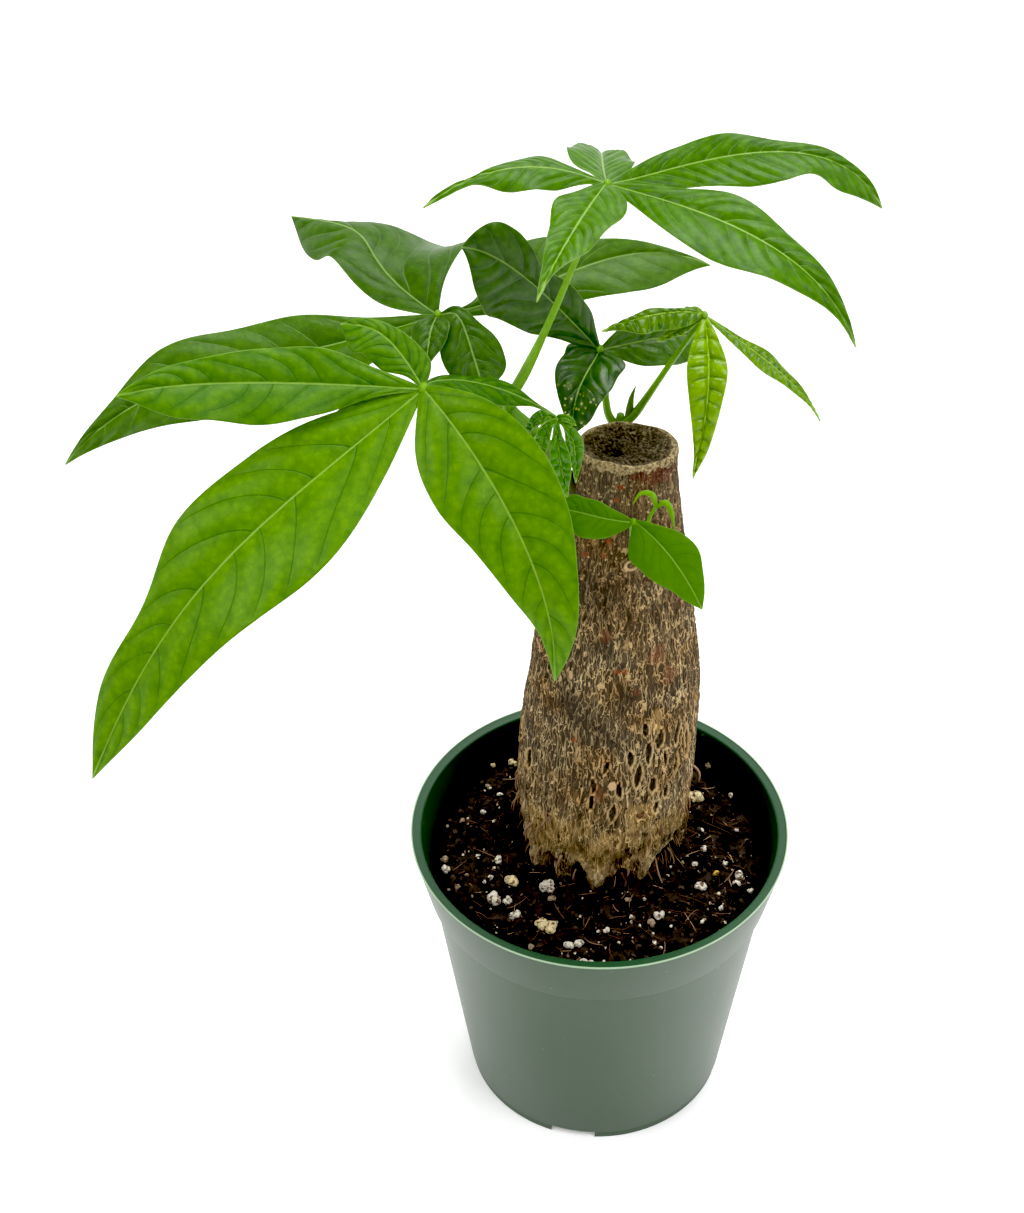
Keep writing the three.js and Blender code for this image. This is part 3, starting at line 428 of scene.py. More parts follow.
def lumps(centres, sizes, rows, columns, rough, seed, **values):
    """Copies of a ball at the centres, each dented at random by `rough` of its size and turned."""
    chance = np.random.default_rng(seed)
    ways, count = ball(rows, columns), len(centres)
    dents = 1 + rough * chance.uniform(-1, 1, (count, len(ways)))
    stretch = chance.uniform(0.7, 1.15, (count, 1, 3))
    turn = chance.uniform(0, 2 * math.pi, count)
    flat = ways[None] * dents[..., None] * stretch * np.asarray(sizes)[:, None, None]
    x = flat[..., 0] * np.cos(turn)[:, None] - flat[..., 1] * np.sin(turn)[:, None]
    y = flat[..., 0] * np.sin(turn)[:, None] + flat[..., 1] * np.cos(turn)[:, None]
    points = np.stack([x, y, flat[..., 2]], -1) + np.asarray(centres)[:, None]
    return many(points, tube_faces(rows, columns), values)


soil_out = np.linspace(0, 1, SOIL_RINGS + 1)[1:] * SOIL_EDGE
soil_turn = np.arange(SOIL_SPOKES) * 2 * math.pi / SOIL_SPOKES
soil_x, soil_y = (soil_out[:, None] * way for way in (np.cos(soil_turn), np.sin(soil_turn)))
soil_z = ground(soil_x, soil_y) - 1.2 * np.clip((soil_out[:, None] - 46) / 3, 0, 1)
soil_top = np.stack([soil_x, soil_y, soil_z], -1).reshape(-1, 3)
soil_floor = floor_top + FLOOR_GAP
SOIL_WALL = ((SOIL_EDGE, SOIL_RIM), (BODY_TOP_RADIUS - POT_WALL - WALL_GAP, band_foot - 2),
             (inner_foot - POT_WALL - WALL_GAP, soil_floor))
soil_wall = lathe(np.array(SOIL_WALL), SOIL_SPOKES).reshape(-1, 3)
soil_points = np.vstack([soil_top, soil_wall, [[0, 0, SOIL_HEIGHT], [0, 0, soil_floor]]])
soil_faces = tube_faces(SOIL_RINGS + len(SOIL_WALL), SOIL_SPOKES, turned=True)

# Sphagnum peat: almost black where it is damp, grey-brown where it has dried.
peat_finish, tree, shader = new_finish("damp_peat", Roughness=0.95, IOR=1.4, Specular_IOR_Level=0.15)
place = add(tree, "TexCoord").outputs["Object"]
clods = add(tree, "TexNoise", {"Vector": place, "Scale": 240.0, "Detail": 5.0}).outputs["Fac"]
clods = add(tree, "MapRange", {"Value": clods, "From Min": 0.42, "From Max": 0.72}).outputs[0]
peat = add(tree, "Mix", {0: clods, 6: paint("#161515"), 7: paint("#443B33")}, data_type="RGBA").outputs[2]
tree.links.new(peat, shader.inputs["Base Color"])
pores = add(tree, "TexNoise", {"Vector": place, "Scale": 900.0, "Detail": 4.0}).outputs["Fac"]
tree.links.new(add(tree, "Bump", {"Height": pores, "Strength": 0.9, "Distance": 0.001}).outputs[0],
               shader.inputs["Normal"])
soil = make_piece("peat", soil_points, soil_faces, peat_finish)
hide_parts("soil")

chance = np.random.default_rng(21)


def scatter(count, near, far=48):
    """Random places on the mix, even by area, outside the stump's foot and inside the wall."""
    turn = chance.uniform(0, 2 * math.pi, count * 3)
    out = far * np.sqrt(chance.uniform(0, 1, count * 3))
    x, y = out * np.cos(turn), out * np.sin(turn)
    clear = np.hypot(x - 0.5, y - TRUNK_Y) > near
    return x[clear][:count], y[clear][:count]


crumb_x, crumb_y = scatter(2200, near=23)
crumb_size = 0.2 + 0.8 * chance.uniform(0, 1, len(crumb_x)) ** 2
crumbs = lumps(np.stack([crumb_x, crumb_y, ground(crumb_x, crumb_y) + 0.15], -1), crumb_size,
               3, 5, 0.45, 31, shade=chance.uniform(0, 1, len(crumb_x)))
crumb_finish, tree, shader = new_finish("peat_crumb", Roughness=0.95, IOR=1.4, Specular_IOR_Level=0.15)
shade = add(tree, "Attribute", attribute_name="shade").outputs["Fac"]
shade = add(tree, "MapRange", {"Value": shade, "From Min": 0.3, "From Max": 1.0}).outputs[0]
brown = add(tree, "Mix", {0: shade, 6: paint("#1A1715"), 7: paint("#4C4239")}, data_type="RGBA").outputs[2]
tree.links.new(brown, shader.inputs["Base Color"])
make_piece("peat_crumbs", crumbs["points"], crumbs["faces"], crumb_finish, crumbs["values"],
           sharp=60)


def strands(starts, ways, lengths, radii, bends, rings, sides, **values):
    """Thin loose strands: each runs from its start along its way and bends aside in an arc, with
    its radius easing to nothing at the tip. All the arrays have one row for each strand."""
    t = np.linspace(0, 1, rings)[None, :, None]
    starts, ways, bends = (np.asarray(a, float)[:, None] for a in (starts, ways, bends))
    lengths = np.asarray(lengths, float)[:, None, None]
    line = starts + ways * lengths * t + bends * lengths * np.sin(t * math.pi) / 2
    run = unit(np.gradient(line, axis=1))
    side = unit(np.cross(run, [0.3, 0.2, 0.93]))
    lift = np.cross(run, side)
    thick = np.asarray(radii, float)[:, None] * np.sqrt(np.clip(1.03 - np.linspace(0, 1, rings) ** 3, 0, 1))
    turn = np.arange(sides) * 2 * math.pi / sides
    around = (side[:, :, None] * np.cos(turn)[:, None] + lift[:, :, None] * np.sin(turn)[:, None])
    points = line[:, :, None] + around * thick[:, :, None, None]
    points = np.concatenate([points.reshape(len(points), -1, 3), line[:, [0, -1]]], 1)
    return many(points, tube_faces(rings, sides), values)


FIBRE_COUNT = 300
fibre_x, fibre_y = scatter(FIBRE_COUNT, near=24, far=46)
fibre_turn = chance.uniform(0, 2 * math.pi, FIBRE_COUNT)
fibre_length = 1.2 + 7 * chance.uniform(0, 1, FIBRE_COUNT) ** 2.5 * (1 + (fibre_x > 0) * 0.5)
fibre_way = np.stack([np.cos(fibre_turn), np.sin(fibre_turn), chance.uniform(-0.12, 0.2, FIBRE_COUNT)], -1)
fibre_start = np.stack([fibre_x, fibre_y, ground(fibre_x, fibre_y) + 0.5], -1)
fibre_end = fibre_start + fibre_way * fibre_length[:, None]
fibre_inside = np.hypot(fibre_end[:, 0], fibre_end[:, 1]) < 48
fibres = strands(
    fibre_start[fibre_inside], fibre_way[fibre_inside], fibre_length[fibre_inside],
    chance.uniform(0.1, 0.24, FIBRE_COUNT)[fibre_inside],
    chance.uniform(-0.25, 0.25, (FIBRE_COUNT, 3))[fibre_inside] * [1, 1, 0.35], 6, 4,
    shade=chance.uniform(0, 1, FIBRE_COUNT)[fibre_inside] ** 1.6)
fibre_finish, tree, shader = new_finish("dry_peat_fibre", Roughness=0.8)
shade = add(tree, "Attribute", attribute_name="shade").outputs["Fac"]
straw = add(tree, "ValToRGB", {0: shade})
straw.color_ramp.elements[0].color = paint("#261C13")
straw.color_ramp.elements[1].color = paint("#A4866A")
straw.color_ramp.elements.new(0.6).color = paint("#634630")
tree.links.new(straw.outputs[0], shader.inputs["Base Color"])
make_piece("peat_fibres", fibres["points"], fibres["faces"], fibre_finish, fibres["values"],
           sharp=0)

big = np.array([g[:3] for g in PERLITE], float)
big_kind = np.array([GRAIN_COLOURS[g[3]] for g in PERLITE])
big_centres = np.stack([big[:, 0], big[:, 1], ground(big[:, 0], big[:, 1]) + big[:, 2] * 0.45], -1)
buds = []
for grain, kind in zip(np.column_stack([big_centres, big[:, 2]]), big_kind):
    # A puffed grain is four to six round lobes that bulge from one another.
    lobes = chance.integers(4, 7)
    away = unit(chance.normal(size=(lobes, 3)))
    lobe_size = grain[3] * chance.uniform(0.45, 0.75, lobes)
    centres = grain[:3] + away * grain[3] * 0.5 * [1, 1, 0.6]
    buds.append(lumps(centres, lobe_size, 7, 12, 0.09, chance.integers(1 << 30), kind=kind))
small_x, small_y = scatter(150, near=27)
small_size = chance.uniform(0.2, 0.75, len(small_x)) ** 1.3
small = np.stack([small_x, small_y, ground(small_x, small_y) + 0.35], -1)
buds.append(lumps(small, small_size, 3, 6, 0.25, 41, kind=chance.choice([0.0, 0.2, 0.7], len(small_x))))
perlite_points, perlite_faces, perlite_values = gather(buds)

# Expanded perlite: chalky white glass foam, pitted, stained by the peat in its pits.
perlite_finish, tree, shader = new_finish("expanded_perlite", Roughness=0.85, IOR=1.5)
kind = add(tree, "Attribute", attribute_name="kind").outputs["Fac"]
chalk = add(tree, "ValToRGB", {0: kind})
chalk.color_ramp.elements[0].color = paint("#D8D2C2")
chalk.color_ramp.elements[1].color = paint("#C9A83A")
for stop, colour in ((0.4, "#DCCB9C"), (0.7, "#9C8A74"), (0.85, "#8F7C66")):
    chalk.color_ramp.elements.new(stop).color = paint(colour)
place = add(tree, "TexCoord").outputs["Object"]
pits = add(tree, "TexVoronoi", {"Vector": place, "Scale": 1300.0}).outputs["Distance"]
stain = add(tree, "TexNoise", {"Vector": place, "Scale": 900.0, "Detail": 4.0}).outputs["Fac"]
stain = add(tree, "MapRange", {"Value": stain, "From Min": 0.52, "From Max": 0.6}).outputs[0]
dirty = add(tree, "Mix", {0: stain, 6: chalk.outputs[0], 7: paint("#6B5140")}, data_type="RGBA").outputs[2]
tree.links.new(dirty, shader.inputs["Base Color"])
tree.links.new(add(tree, "Bump", {"Height": pits, "Strength": 0.8, "Distance": 0.0005}).outputs[0],
               shader.inputs["Normal"])
make_piece("perlite", perlite_points, perlite_faces, perlite_finish, perlite_values, sharp=0)

# ---- stump -----------------------------------------------------------------------------------
# A woody, bottle-shaped stem, sawn off at the top. Its grey-brown bark is stretched into a net of
# pale corky ridges, the cut is ringed by a tan callus lip round a dark, rotted hollow.
TRUNK_FOOT = 48
TRUNK_TOP = 234
CUT_X = 6
CUT_RADIUS = 13.4
CUT_HOLLOW = 4.1                   # how far the rotted middle lies under the lip
TRUNK_COLUMNS = 300
BARK_STEP = 0.55
CUT_TILT = 2.3                     # the front of the cut stands higher than its middle by this
BARK_ROUND = 2 * math.pi * 25      # the way round the stump, on which the bark's patterns are measured
SURFACE_ROOTS = (-141, -121, -95, -60, -15, 40, 95, 150)      # degrees round the foot
SKIRT = (
    # degrees round and the height where the torn bark ends, above the bare foot, darker in its own brown
    # and in painted shade under the torn bark
    (-180, 95), (-150, 95), (-141, 90), (-132, 99), (-121, 91), (-108, 96), (-95, 89), (-78, 95), (-60, 93),
    (-40, 96), (-20, 100), (0, 97), (40, 92), (90, 95), (140, 93),
)
SPLITS = (
    # degrees round, height, half width and half height of the dark lens-shaped splits in the bark
    (-60, 146, 1.2, 4.6), (-45, 145, 1.2, 5.5), (-33, 137, 1.4, 7), (-67, 142, 1.4, 5),
    (-54, 137, 1.0, 4.6), (-74, 134, 1.4, 5.6), (-80, 141, 1.2, 3.6), (-62, 129, 1.4, 3.6),
    (-102, 131, 0.9, 4), (-103, 124, 0.9, 4),
    (-88, 120, 1.3, 4.2), (-58, 119, 1.3, 3), (-44, 132, 1.1, 5), (-22, 144, 1.1, 7), (-85, 129, 1.3, 3.8),
    (-37, 151, 0.9, 5), (-50, 123, 1.4, 3.6), (-71, 151, 1.1, 3), (-95, 138, 0.9, 3), (60, 140, 1.6, 5),
    (80, 132, 1.7, 5), (100, 145, 1.5, 4.5), (-170, 135, 1.6, 5), (-155, 128, 1.5, 4.5), (125, 128, 1.6, 5),
    (25, 136, 1.5, 5), (150, 142, 1.5, 4.5), (95, 122, 1.5, 4),
)
KNOTS = (
    # degrees round, height, bulge, half width and half height: the sprout's knot, then old bud knots
    (-88, 207, 2.6, 3.4, 2.8), (-104, 190, 1.3, 2, 2), (-72, 200, 1.1, 2.2, 1.5), (-60, 199, 1.0, 2.2, 1.5),
    (-100, 204, 0.9, 2.2, 1.5), (140, 205, 2.2, 2.2, 1.5), (60, 150, 1.4, 2.2, 1.5),
    (-66, 116, 1.3, 2.2, 1.5), (-150, 160, 1.2, 2.2, 1.5), (-110, 201, 0.8, 2.2, 1.5),
    (-80, 212, 0.8, 2.2, 1.5),
)
EYE_TURN, EYE_HEIGHT, EYE_RADIUS = -86, 206.5, 1.5            # the ringed eye in the sprout's knot
STUMP = np.array((
    # height, centre x, radius
    (TRUNK_FOOT, -1, 12), (56, -1, 18), (79, -0.5, 21.7), (93, 0.9, 24.5), (114, 2, 26.2), (139, 3.1, 25.9),
    (158, 4.2, 24.5), (174, 4.4, 22.3), (194, 5.2, 18.6), (216, 5.9, 15.2), (228, CUT_X, 13.9),
    (TRUNK_TOP, CUT_X, CUT_RADIUS),
))


def stump_at(z, column):
    """A column of the stump's rows at each height, on a cubic between rows that keeps their slopes."""
    heights, value = STUMP[:, 0], STUMP[:, column]
    last = len(STUMP) - 1
    above = np.clip(np.searchsorted(heights, z, side="right"), 1, last)
    low, high = value[above - 1], value[above]
    before, after = value[np.maximum(above - 2, 0)], value[np.minimum(above + 1, last)]
    t = np.clip((z - heights[above - 1]) / (heights[above] - heights[above - 1]), 0, 1)
    stay = 2 * t ** 3 - 3 * t ** 2 + 1
    slopes = (t ** 3 - 2 * t ** 2 + t) * (high - before) / 2 + (t ** 3 - t ** 2) * (after - low) / 2
    return stay * low + (1 - stay) * high + slopes


def bark_net(turn, z, wide, tall, seed):
    """A net of seeds jittered in cells `wide` round and `tall` up: the distance to the second
    nearest seed less that to the nearest, so 0 on the net's threads and near 1 inside a mesh."""
    count = round(BARK_ROUND / wide)
    share = turn / (2 * math.pi)
    u = share * count + 0.5 * drift(share * (count // 2), z / tall * 2.5, seed + 1, wrap=count // 2)
    v = z / tall + 0.3 * drift(share * count, z / tall * 2, seed + 2, wrap=count)
    jitter = np.random.default_rng(seed).uniform(-0.42, 0.42, (2, 64, count))
    column, row = np.floor(u).astype(int), np.floor(v).astype(int)
    nearest = np.full(u.shape, 9.0)
    second = nearest.copy()
    for step_u in (-1, 0, 1):
        for step_v in (-1, 0, 1):
            at_u, at_v = column + step_u, row + step_v
            shift_u = jitter[0, at_v % 64, at_u % count]
            shift_v = jitter[1, at_v % 64, at_u % count]
            away = np.hypot(u - at_u - 0.5 - shift_u, v - at_v - 0.5 - shift_v)
            second = np.minimum(second, np.maximum(nearest, away))
            nearest = np.minimum(nearest, away)
    return second - nearest


def ease(value, start, end):
    """0 before start, 1 after end, and a smooth step between them."""
    t = np.clip((value - start) / (end - start), 0, 1)
    return t * t * (3 - 2 * t)


def turn_from(turn, degrees):
    """How far round the stump a turn lies from the given degrees, the shorter way."""
    return (turn - math.radians(degrees) + math.pi) % (2 * math.pi) - math.pi


def bark_spot(turn, z, at_turn, at_z, wide, tall):
    """A soft patch on the bark, 1 in its middle: a bell over the distance round and up."""
    return np.exp(-(turn_from(turn, at_turn) * stump_at(z, 2) / wide) ** 2 - ((z - at_z) / tall) ** 2)


def bark_waves(wide, tall, seed):
    """Smooth random values over the bark, about `wide` mm round and `tall` mm up, with no seam."""
    count = round(BARK_ROUND / wide)
    return drift(turn_grid / (2 * math.pi) * count, z_grid / tall, seed, wrap=count)


trunk_turn = np.arange(TRUNK_COLUMNS) * 2 * math.pi / TRUNK_COLUMNS
bark_z = np.concatenate([[TRUNK_FOOT, 56, 66, 75], np.arange(80, TRUNK_TOP - 0.2, BARK_STEP)])
inward = np.concatenate([[0.25, 0.6], np.arange(1.1, 13.0, 0.5)])
turn_grid, z_grid = np.meshgrid(trunk_turn, bark_z)
x_side, y_side = np.cos(turn_grid), np.sin(turn_grid)
upper = ease(z_grid, 185, 215)
fine = bark_net(turn_grid, z_grid, 1.9, 7, 51)
ridge = np.clip(1 - ease(fine, 0.03, 0.34) + 0.25 * bark_waves(1.1, 5, 71), 0, 1)
split = np.full(z_grid.shape, -9.0)
swayed_turn = turn_grid + 0.02 * bark_waves(4, 5, 78)
for at_turn, at_z, wide, tall in SPLITS:
    round_way = turn_from(swayed_turn, at_turn) * stump_at(z_grid, 2)
    split = np.maximum(split, 1 - np.abs(round_way) / wide - ((z_grid - at_z) / tall) ** 2)
eyes = ease(split, 0.05, 0.4)
eye_rims = ease(split, -0.35, -0.1) * (1 - eyes)
flare = 1.2 * ease(110 - z_grid, 0, 30) * np.cos(5 * turn_grid + 1)
roots = np.clip(sum(bark_spot(turn_grid, 0 * z_grid + 90, root, 90, 3.6, 9) for root in SURFACE_ROOTS), 0, 1)
skirt_edge = np.interp(np.degrees(turn_grid), *zip(*SKIRT), period=360) + 1.6 * bark_waves(3, 500, 77)
# The bare foot under the torn bark: its own dark brown, darkened further as painted shade under the bark's
# edge.
bare_and_shaded = ease(-z_grid, -skirt_edge, 1.4 - skirt_edge) * (1 - roots)
foot = ease(-z_grid, -118, -98)
waves = np.clip(1 - 2.2 * np.abs(bark_waves(1.7, 11, 73)), -1, 1)
# The net's meshes lie 0.35 mm under its ridges, and 0.25 near the cut; the splits are 0.8 deep
# with rims 0.3 high, the surface roots swell by 2, and the bare foot lies 3.2 under the torn bark.
relief = (-(0.35 - 0.1 * upper) * (1 - ridge) - 0.8 * eyes + 0.3 * eye_rims + 0.35 * bark_waves(7, 16, 72)
          + 0.25 * waves + foot * (0.9 * bark_waves(3.2, 7, 74) + 0.6 * bark_waves(1.6, 4, 79))
          + 2.0 * roots * ease(101 - z_grid, 0, 13) - 3.2 * bare_and_shaded)
knots = sum(bulge * bark_spot(turn_grid, z_grid, at_turn, at_z, wide, tall)
            for at_turn, at_z, bulge, wide, tall in KNOTS)
knot_away = np.hypot(turn_from(turn_grid, EYE_TURN) * 16.5, z_grid - EYE_HEIGHT)
knot_ring = np.exp(-((knot_away - EYE_RADIUS) / 0.42) ** 2)
knots = knots + 0.7 * knot_ring - 0.9 * np.exp(-(knot_away / 1.1) ** 2)
scar = bark_spot(turn_grid, z_grid, -88, 206, 5.5, 4.5)
scar_rings = scar * np.cos(2.6 * knot_away)
knots = knots + 0.35 * scar_rings
lip_bulge = 0.35 * ease(z_grid, 228, 233)
radius = stump_at(z_grid, 2) + flare + relief + knots + lip_bulge
tilted = z_grid - CUT_TILT * y_side * ease(z_grid, 200, TRUNK_TOP)
bark = np.stack([stump_at(z_grid, 1) + radius * x_side, TRUNK_Y + radius * y_side, tilted], -1)

# The sawn and healed top: a rounded lip, then rotted wood that falls to a dent left of the middle.
cut_turn, cut_in = np.meshgrid(trunk_turn, inward)
cut_edge = CUT_RADIUS + 0.3
uneven = 0.3 * (np.cos(3 * cut_turn) + np.cos(7 * cut_turn + 1) / 2)
cut_x, cut_y = (14 - cut_in) * np.cos(cut_turn), (14 - cut_in) * np.sin(cut_turn)
crumble = 0.35 * drift(cut_x / 0.8 + 60, cut_y / 0.8 + 60, 81)
crumble = crumble + 0.8 * drift(cut_x / 3.1 + 60, cut_y / 3.1 + 60, 82)
wavy_in = cut_in + 0.8 * drift(cut_turn / (2 * math.pi) * 19, cut_turn * 0, 83, wrap=19)
dent_x, dent_y = cut_x + 3.2, cut_y - 1.0
hollow = 0.55 * ease(wavy_in, 0.8, 6.5) + 0.45 * np.exp(-(dent_x / 3.6) ** 2 - (dent_y / 3.0) ** 2)
cut_lip = 0.6 * np.exp(-((cut_in - 0.9) / 0.8) ** 2)
cut_slant = CUT_TILT * np.sin(cut_turn) * (1 - cut_in / cut_edge)
cut_z = (TRUNK_TOP + uneven + cut_lip - CUT_HOLLOW * hollow
         + crumble * (0.35 + 0.8 * hollow) * ease(cut_in, 0.2, 1.6) - cut_slant)
cut_radius = cut_edge - cut_in
cut = np.stack([CUT_X + cut_radius * np.cos(cut_turn), TRUNK_Y + cut_radius * np.sin(cut_turn), cut_z], -1)

stump_points = np.vstack([bark.reshape(-1, 3), cut.reshape(-1, 3),
                          [[-1, TRUNK_Y, TRUNK_FOOT], [CUT_X, TRUNK_Y, TRUNK_TOP - CUT_HOLLOW]]])
stump_faces = tube_faces(len(bark_z) + len(inward), TRUNK_COLUMNS)


def over_stump(on_bark, on_cut):
    """Values on the bark's grid and the cut's grid, end to end, with two more for the poles."""
    flat = [np.broadcast_to(on_bark, z_grid.shape).ravel(), np.broadcast_to(on_cut, cut_in.shape).ravel()]
    return np.concatenate(flat + [[0.0, 1.0]])


# Spots on the bark: degrees round, height, half width and half height.
GOLD_PATCHES = ((-64, 154, 2.2, 5), (-68, 117, 5, 6), (-84, 107, 6, 5), (-50, 106, 6, 6), (-107, 113, 3, 6),
                (-120, 106, 4, 7), (-97, 100, 5, 5), (-140, 106, 6, 9), (100, 110, 18, 8), (-20, 104, 7, 6))
PALE_SCARS = ((-103, 167, 1.3, 1.2), (-126, 168, 1.1, 1.6), (-74, 192, 0.7, 0.6), (-90, 131, 1.4, 1.9),
              (-92, 210, 0.9, 0.8), (-40, 176, 0.7, 0.7), (70, 180, 1.2, 1.2))
LENTICELS = ((-100, 228, 1.0, 0.8), (-104, 224, 1.1, 0.8), (-128, 211, 1.0, 0.7), (-109, 212, 1.0, 0.7),
             (-112, 208, 0.8, 0.7), (-132, 206, 0.9, 0.7), (-86, 172, 0.8, 0.8), (-92, 172, 1.2, 0.7),
             (20, 215, 1.0, 0.8), (95, 200, 1.1, 0.8), (170, 210, 1.0, 0.8), (-118, 146, 0.9, 0.9))
RUDDY_SPOTS = ((-53, 167, 3.2, 3), (-103, 183, 2, 2), (-78, 165, 1.6, 1.6), (-99, 128, 2.4, 4),
               (-60, 176, 3, 4), (60, 160, 3, 4), (150, 150, 3, 4))
# Darker patches high on the stump, under the leaves: painted shadow of the leaves.
LEAF_SHADOWS = ((-101, 180, 2.2, 4), (-126, 159, 4, 8), (-85, 163, 2.6, 4), (-95, 173, 2, 3), (-118, 196, 9, 6),
              (-108, 150, 5, 7), (-90, 147, 4, 5), (60, 190, 6, 8), (150, 180, 6, 8))
WINE_SPOTS = ((-62, 231, 4, 2), (-40, 230, 4.5, 2.6), (-82, 231.5, 2.6, 1.2), (-69, 118, 1.4, 0.9),
              (-72, 110, 2.0, 0.9))
gold, pale, rust, ruddy_spots, leaf_shadow, wine = (
    np.clip(sum(bark_spot(turn_grid, z_grid, *spot) for spot in spots), 0, 1)
    for spots in (GOLD_PATCHES, PALE_SCARS, LENTICELS, RUDDY_SPOTS, LEAF_SHADOWS, WINE_SPOTS))
lip_line = ease(z_grid + 1.3 * bark_waves(3, 400, 87) + 0.6 * bark_waves(1.2, 400, 88), 231.8, 232.8)
lip_cut = 1 - ease(cut_in + 0.7 * drift(cut_turn / (2 * math.pi) * 25, cut_turn * 0, 85, wrap=25), 0.8, 1.9)
stump_values = {
    "ridge": over_stump(ridge, 0.5 + 0.5 * drift(cut_x / 0.7 + 60, cut_y / 0.7 + 60, 84)),
    "eye": over_stump(eyes, 0),
    "gold": over_stump(gold, 0),
    "pale": over_stump(np.maximum(ease(pale, 0.35, 0.6), np.maximum(
        knot_ring, 0.6 * scar_rings * (knot_away > 2.4))), 0),
    "rust": over_stump(ease(rust, 0.3, 0.6), 0),
    "rim": over_stump(eye_rims, 0),
    "bare_and_shaded": over_stump(bare_and_shaded, 0),
    "ruddy": over_stump(ruddy_spots, 0),
    "wine": over_stump(wine, 0),
    "leaf_shadow": over_stump(leaf_shadow, 0),
    "lip": over_stump(lip_line, lip_cut),
    "hollow": over_stump(0, hollow),
}

# Corky bark: matte, dark brown between crisp pale threads, which are the lines where three noises
# stretched six times upwards cross their middle. Towards the cut it is flecked and its threads fade;
# at the foot it is bleached in torn, golden patches.
THREADS = (
    # the noise's cells in a metre, half the thread's width in mm, and the shift that parts the nets
    (330.0, 0.13, 0.0),
    (480.0, 0.105, 0.3),
    (700.0, 0.085, 0.6),
)
NOISE_SLOPE = 0.4                  # how much such a noise changes across one of its cells
RAGGED, PLAIN = 1.8, 0.3           # how torn the edge of a coat is
COATS = (
    # mask, its edge, how much it hides of what is under it, and its colour
    # painted shadow of the leaves on the upper stump
    ("leaf_shadow", RAGGED, 0.45, "#353029"),
    ("ruddy", RAGGED, 0.3, "#8A5138"),
    ("gold", RAGGED, 0.65, "#D8B478"),
    ("eye", PLAIN, 0.85, "#2B2825"),
    ("wine", RAGGED, 0.5, "#6E3A30"),
    ("rust", PLAIN, 0.6, "#9A4A2C"),
    ("pale", PLAIN, 0.9, "#D2B186"),
    # the bare foot's dark brown, partly painted shade under the torn bark
    ("bare_and_shaded", PLAIN, 0.85, "#211912"),
    ("lip", RAGGED, 0.85, "#BCA67C"),
)
bark_finish, tree, shader = new_finish("netted_cork_bark", Roughness=0.9, IOR=1.45, Specular_IOR_Level=0.3)
place = add(tree, "TexCoord").outputs["Object"]
value = {k: add(tree, "Attribute", attribute_name=k).outputs["Fac"] for k in stump_values}
# The threads, which sway a little and are stronger in some places than in others.
sway = add(tree, "TexNoise", {"Vector": place, "Scale": 280.0, "Detail": 2.0}).outputs["Color"]
sway = add(tree, "VectorMath", {0: sway, 1: (0.0018, 0.0018, 0.0018)}, operation="MULTIPLY").outputs[0]
swayed = add(tree, "VectorMath", {0: place, 1: sway}, operation="ADD").outputs[0]
tall = add(tree, "Mapping", {"Vector": swayed, "Scale": (1.0, 1.0, 0.16)}).outputs[0]
height = add(tree, "SeparateXYZ", {0: place}).outputs[2]
strength = add(tree, "TexNoise", {"Vector": place, "Scale": 210.0, "Detail": 2.0}).outputs["Fac"]
strength = add(tree, "MapRange", {"Value": strength, "From Min": 0.35, "From Max": 0.65,
                                  "To Min": 0.6, "To Max": 1.1}).outputs[0]
thread = 0.0
for scale, half_width, apart in THREADS:
    strand = add(tree, "Mapping", {"Vector": swayed, "Location": (apart, apart, apart),
                                   "Scale": (1.0, 1.0, 0.17)}).outputs[0]
    strand = add(tree, "TexNoise", {"Vector": strand, "Scale": scale, "Detail": 1.0}).outputs["Fac"]
    strand = add(tree, "Math", {0: strand, 1: 0.5}, operation="SUBTRACT").outputs[0]
    strand = add(tree, "Math", {0: strand}, operation="ABSOLUTE").outputs[0]
    reach = NOISE_SLOPE * scale * half_width * MM
    strand = add(tree, "MapRange", {"Value": strand, "From Min": 0.3 * reach, "From Max": reach,
                                    "To Min": 1.0, "To Max": 0.0}, interpolation_type="SMOOTHSTEP").outputs[0]
    thread = add(tree, "Math", {0: strand, 1: thread}, operation="MAXIMUM").outputs[0]
thread = add(tree, "Math", {0: thread, 1: strength}, operation="MULTIPLY").outputs[0]
fading = add(tree, "MapRange", {"Value": height, "From Min": 175 * MM, "From Max": 215 * MM,
                                "To Min": 1.0, "To Max": 0.4}).outputs[0]
thread = add(tree, "Math", {0: thread, 1: fading}, operation="MULTIPLY").outputs[0]
thread = add(tree, "Math", {0: thread, 1: value["rim"]}, operation="MAXIMUM").outputs[0]
# Between them fine hairs, and towards the cut round flecks.
hairs = add(tree, "TexNoise", {"Vector": tall, "Scale": 1300.0, "Detail": 3.0}).outputs["Fac"]
hairs = add(tree, "MapRange", {"Value": hairs, "From Min": 0.3, "From Max": 0.7, "To Max": 0.3}).outputs[0]
flecks = add(tree, "TexVoronoi", {"Vector": place, "Scale": 640.0}).outputs["Distance"]
flecks = add(tree, "MapRange", {"Value": flecks, "From Min": 0.16, "From Max": 0.3,
                                "To Min": 0.6, "To Max": 0.0}).outputs[0]
flecked = add(tree, "MapRange", {"Value": height, "From Min": 165 * MM, "From Max": 200 * MM}).outputs[0]
flecks = add(tree, "Math", {0: flecks, 1: flecked}, operation="MULTIPLY").outputs[0]
raised = add(tree, "Math", {0: thread, 1: hairs}, operation="ADD").outputs[0]
raised = add(tree, "Math", {0: value["ridge"], 1: 0.2, 2: raised}, operation="MULTIPLY_ADD").outputs[0]
raised = add(tree, "Math", {0: flecks, 1: raised}, operation="ADD").outputs[0]
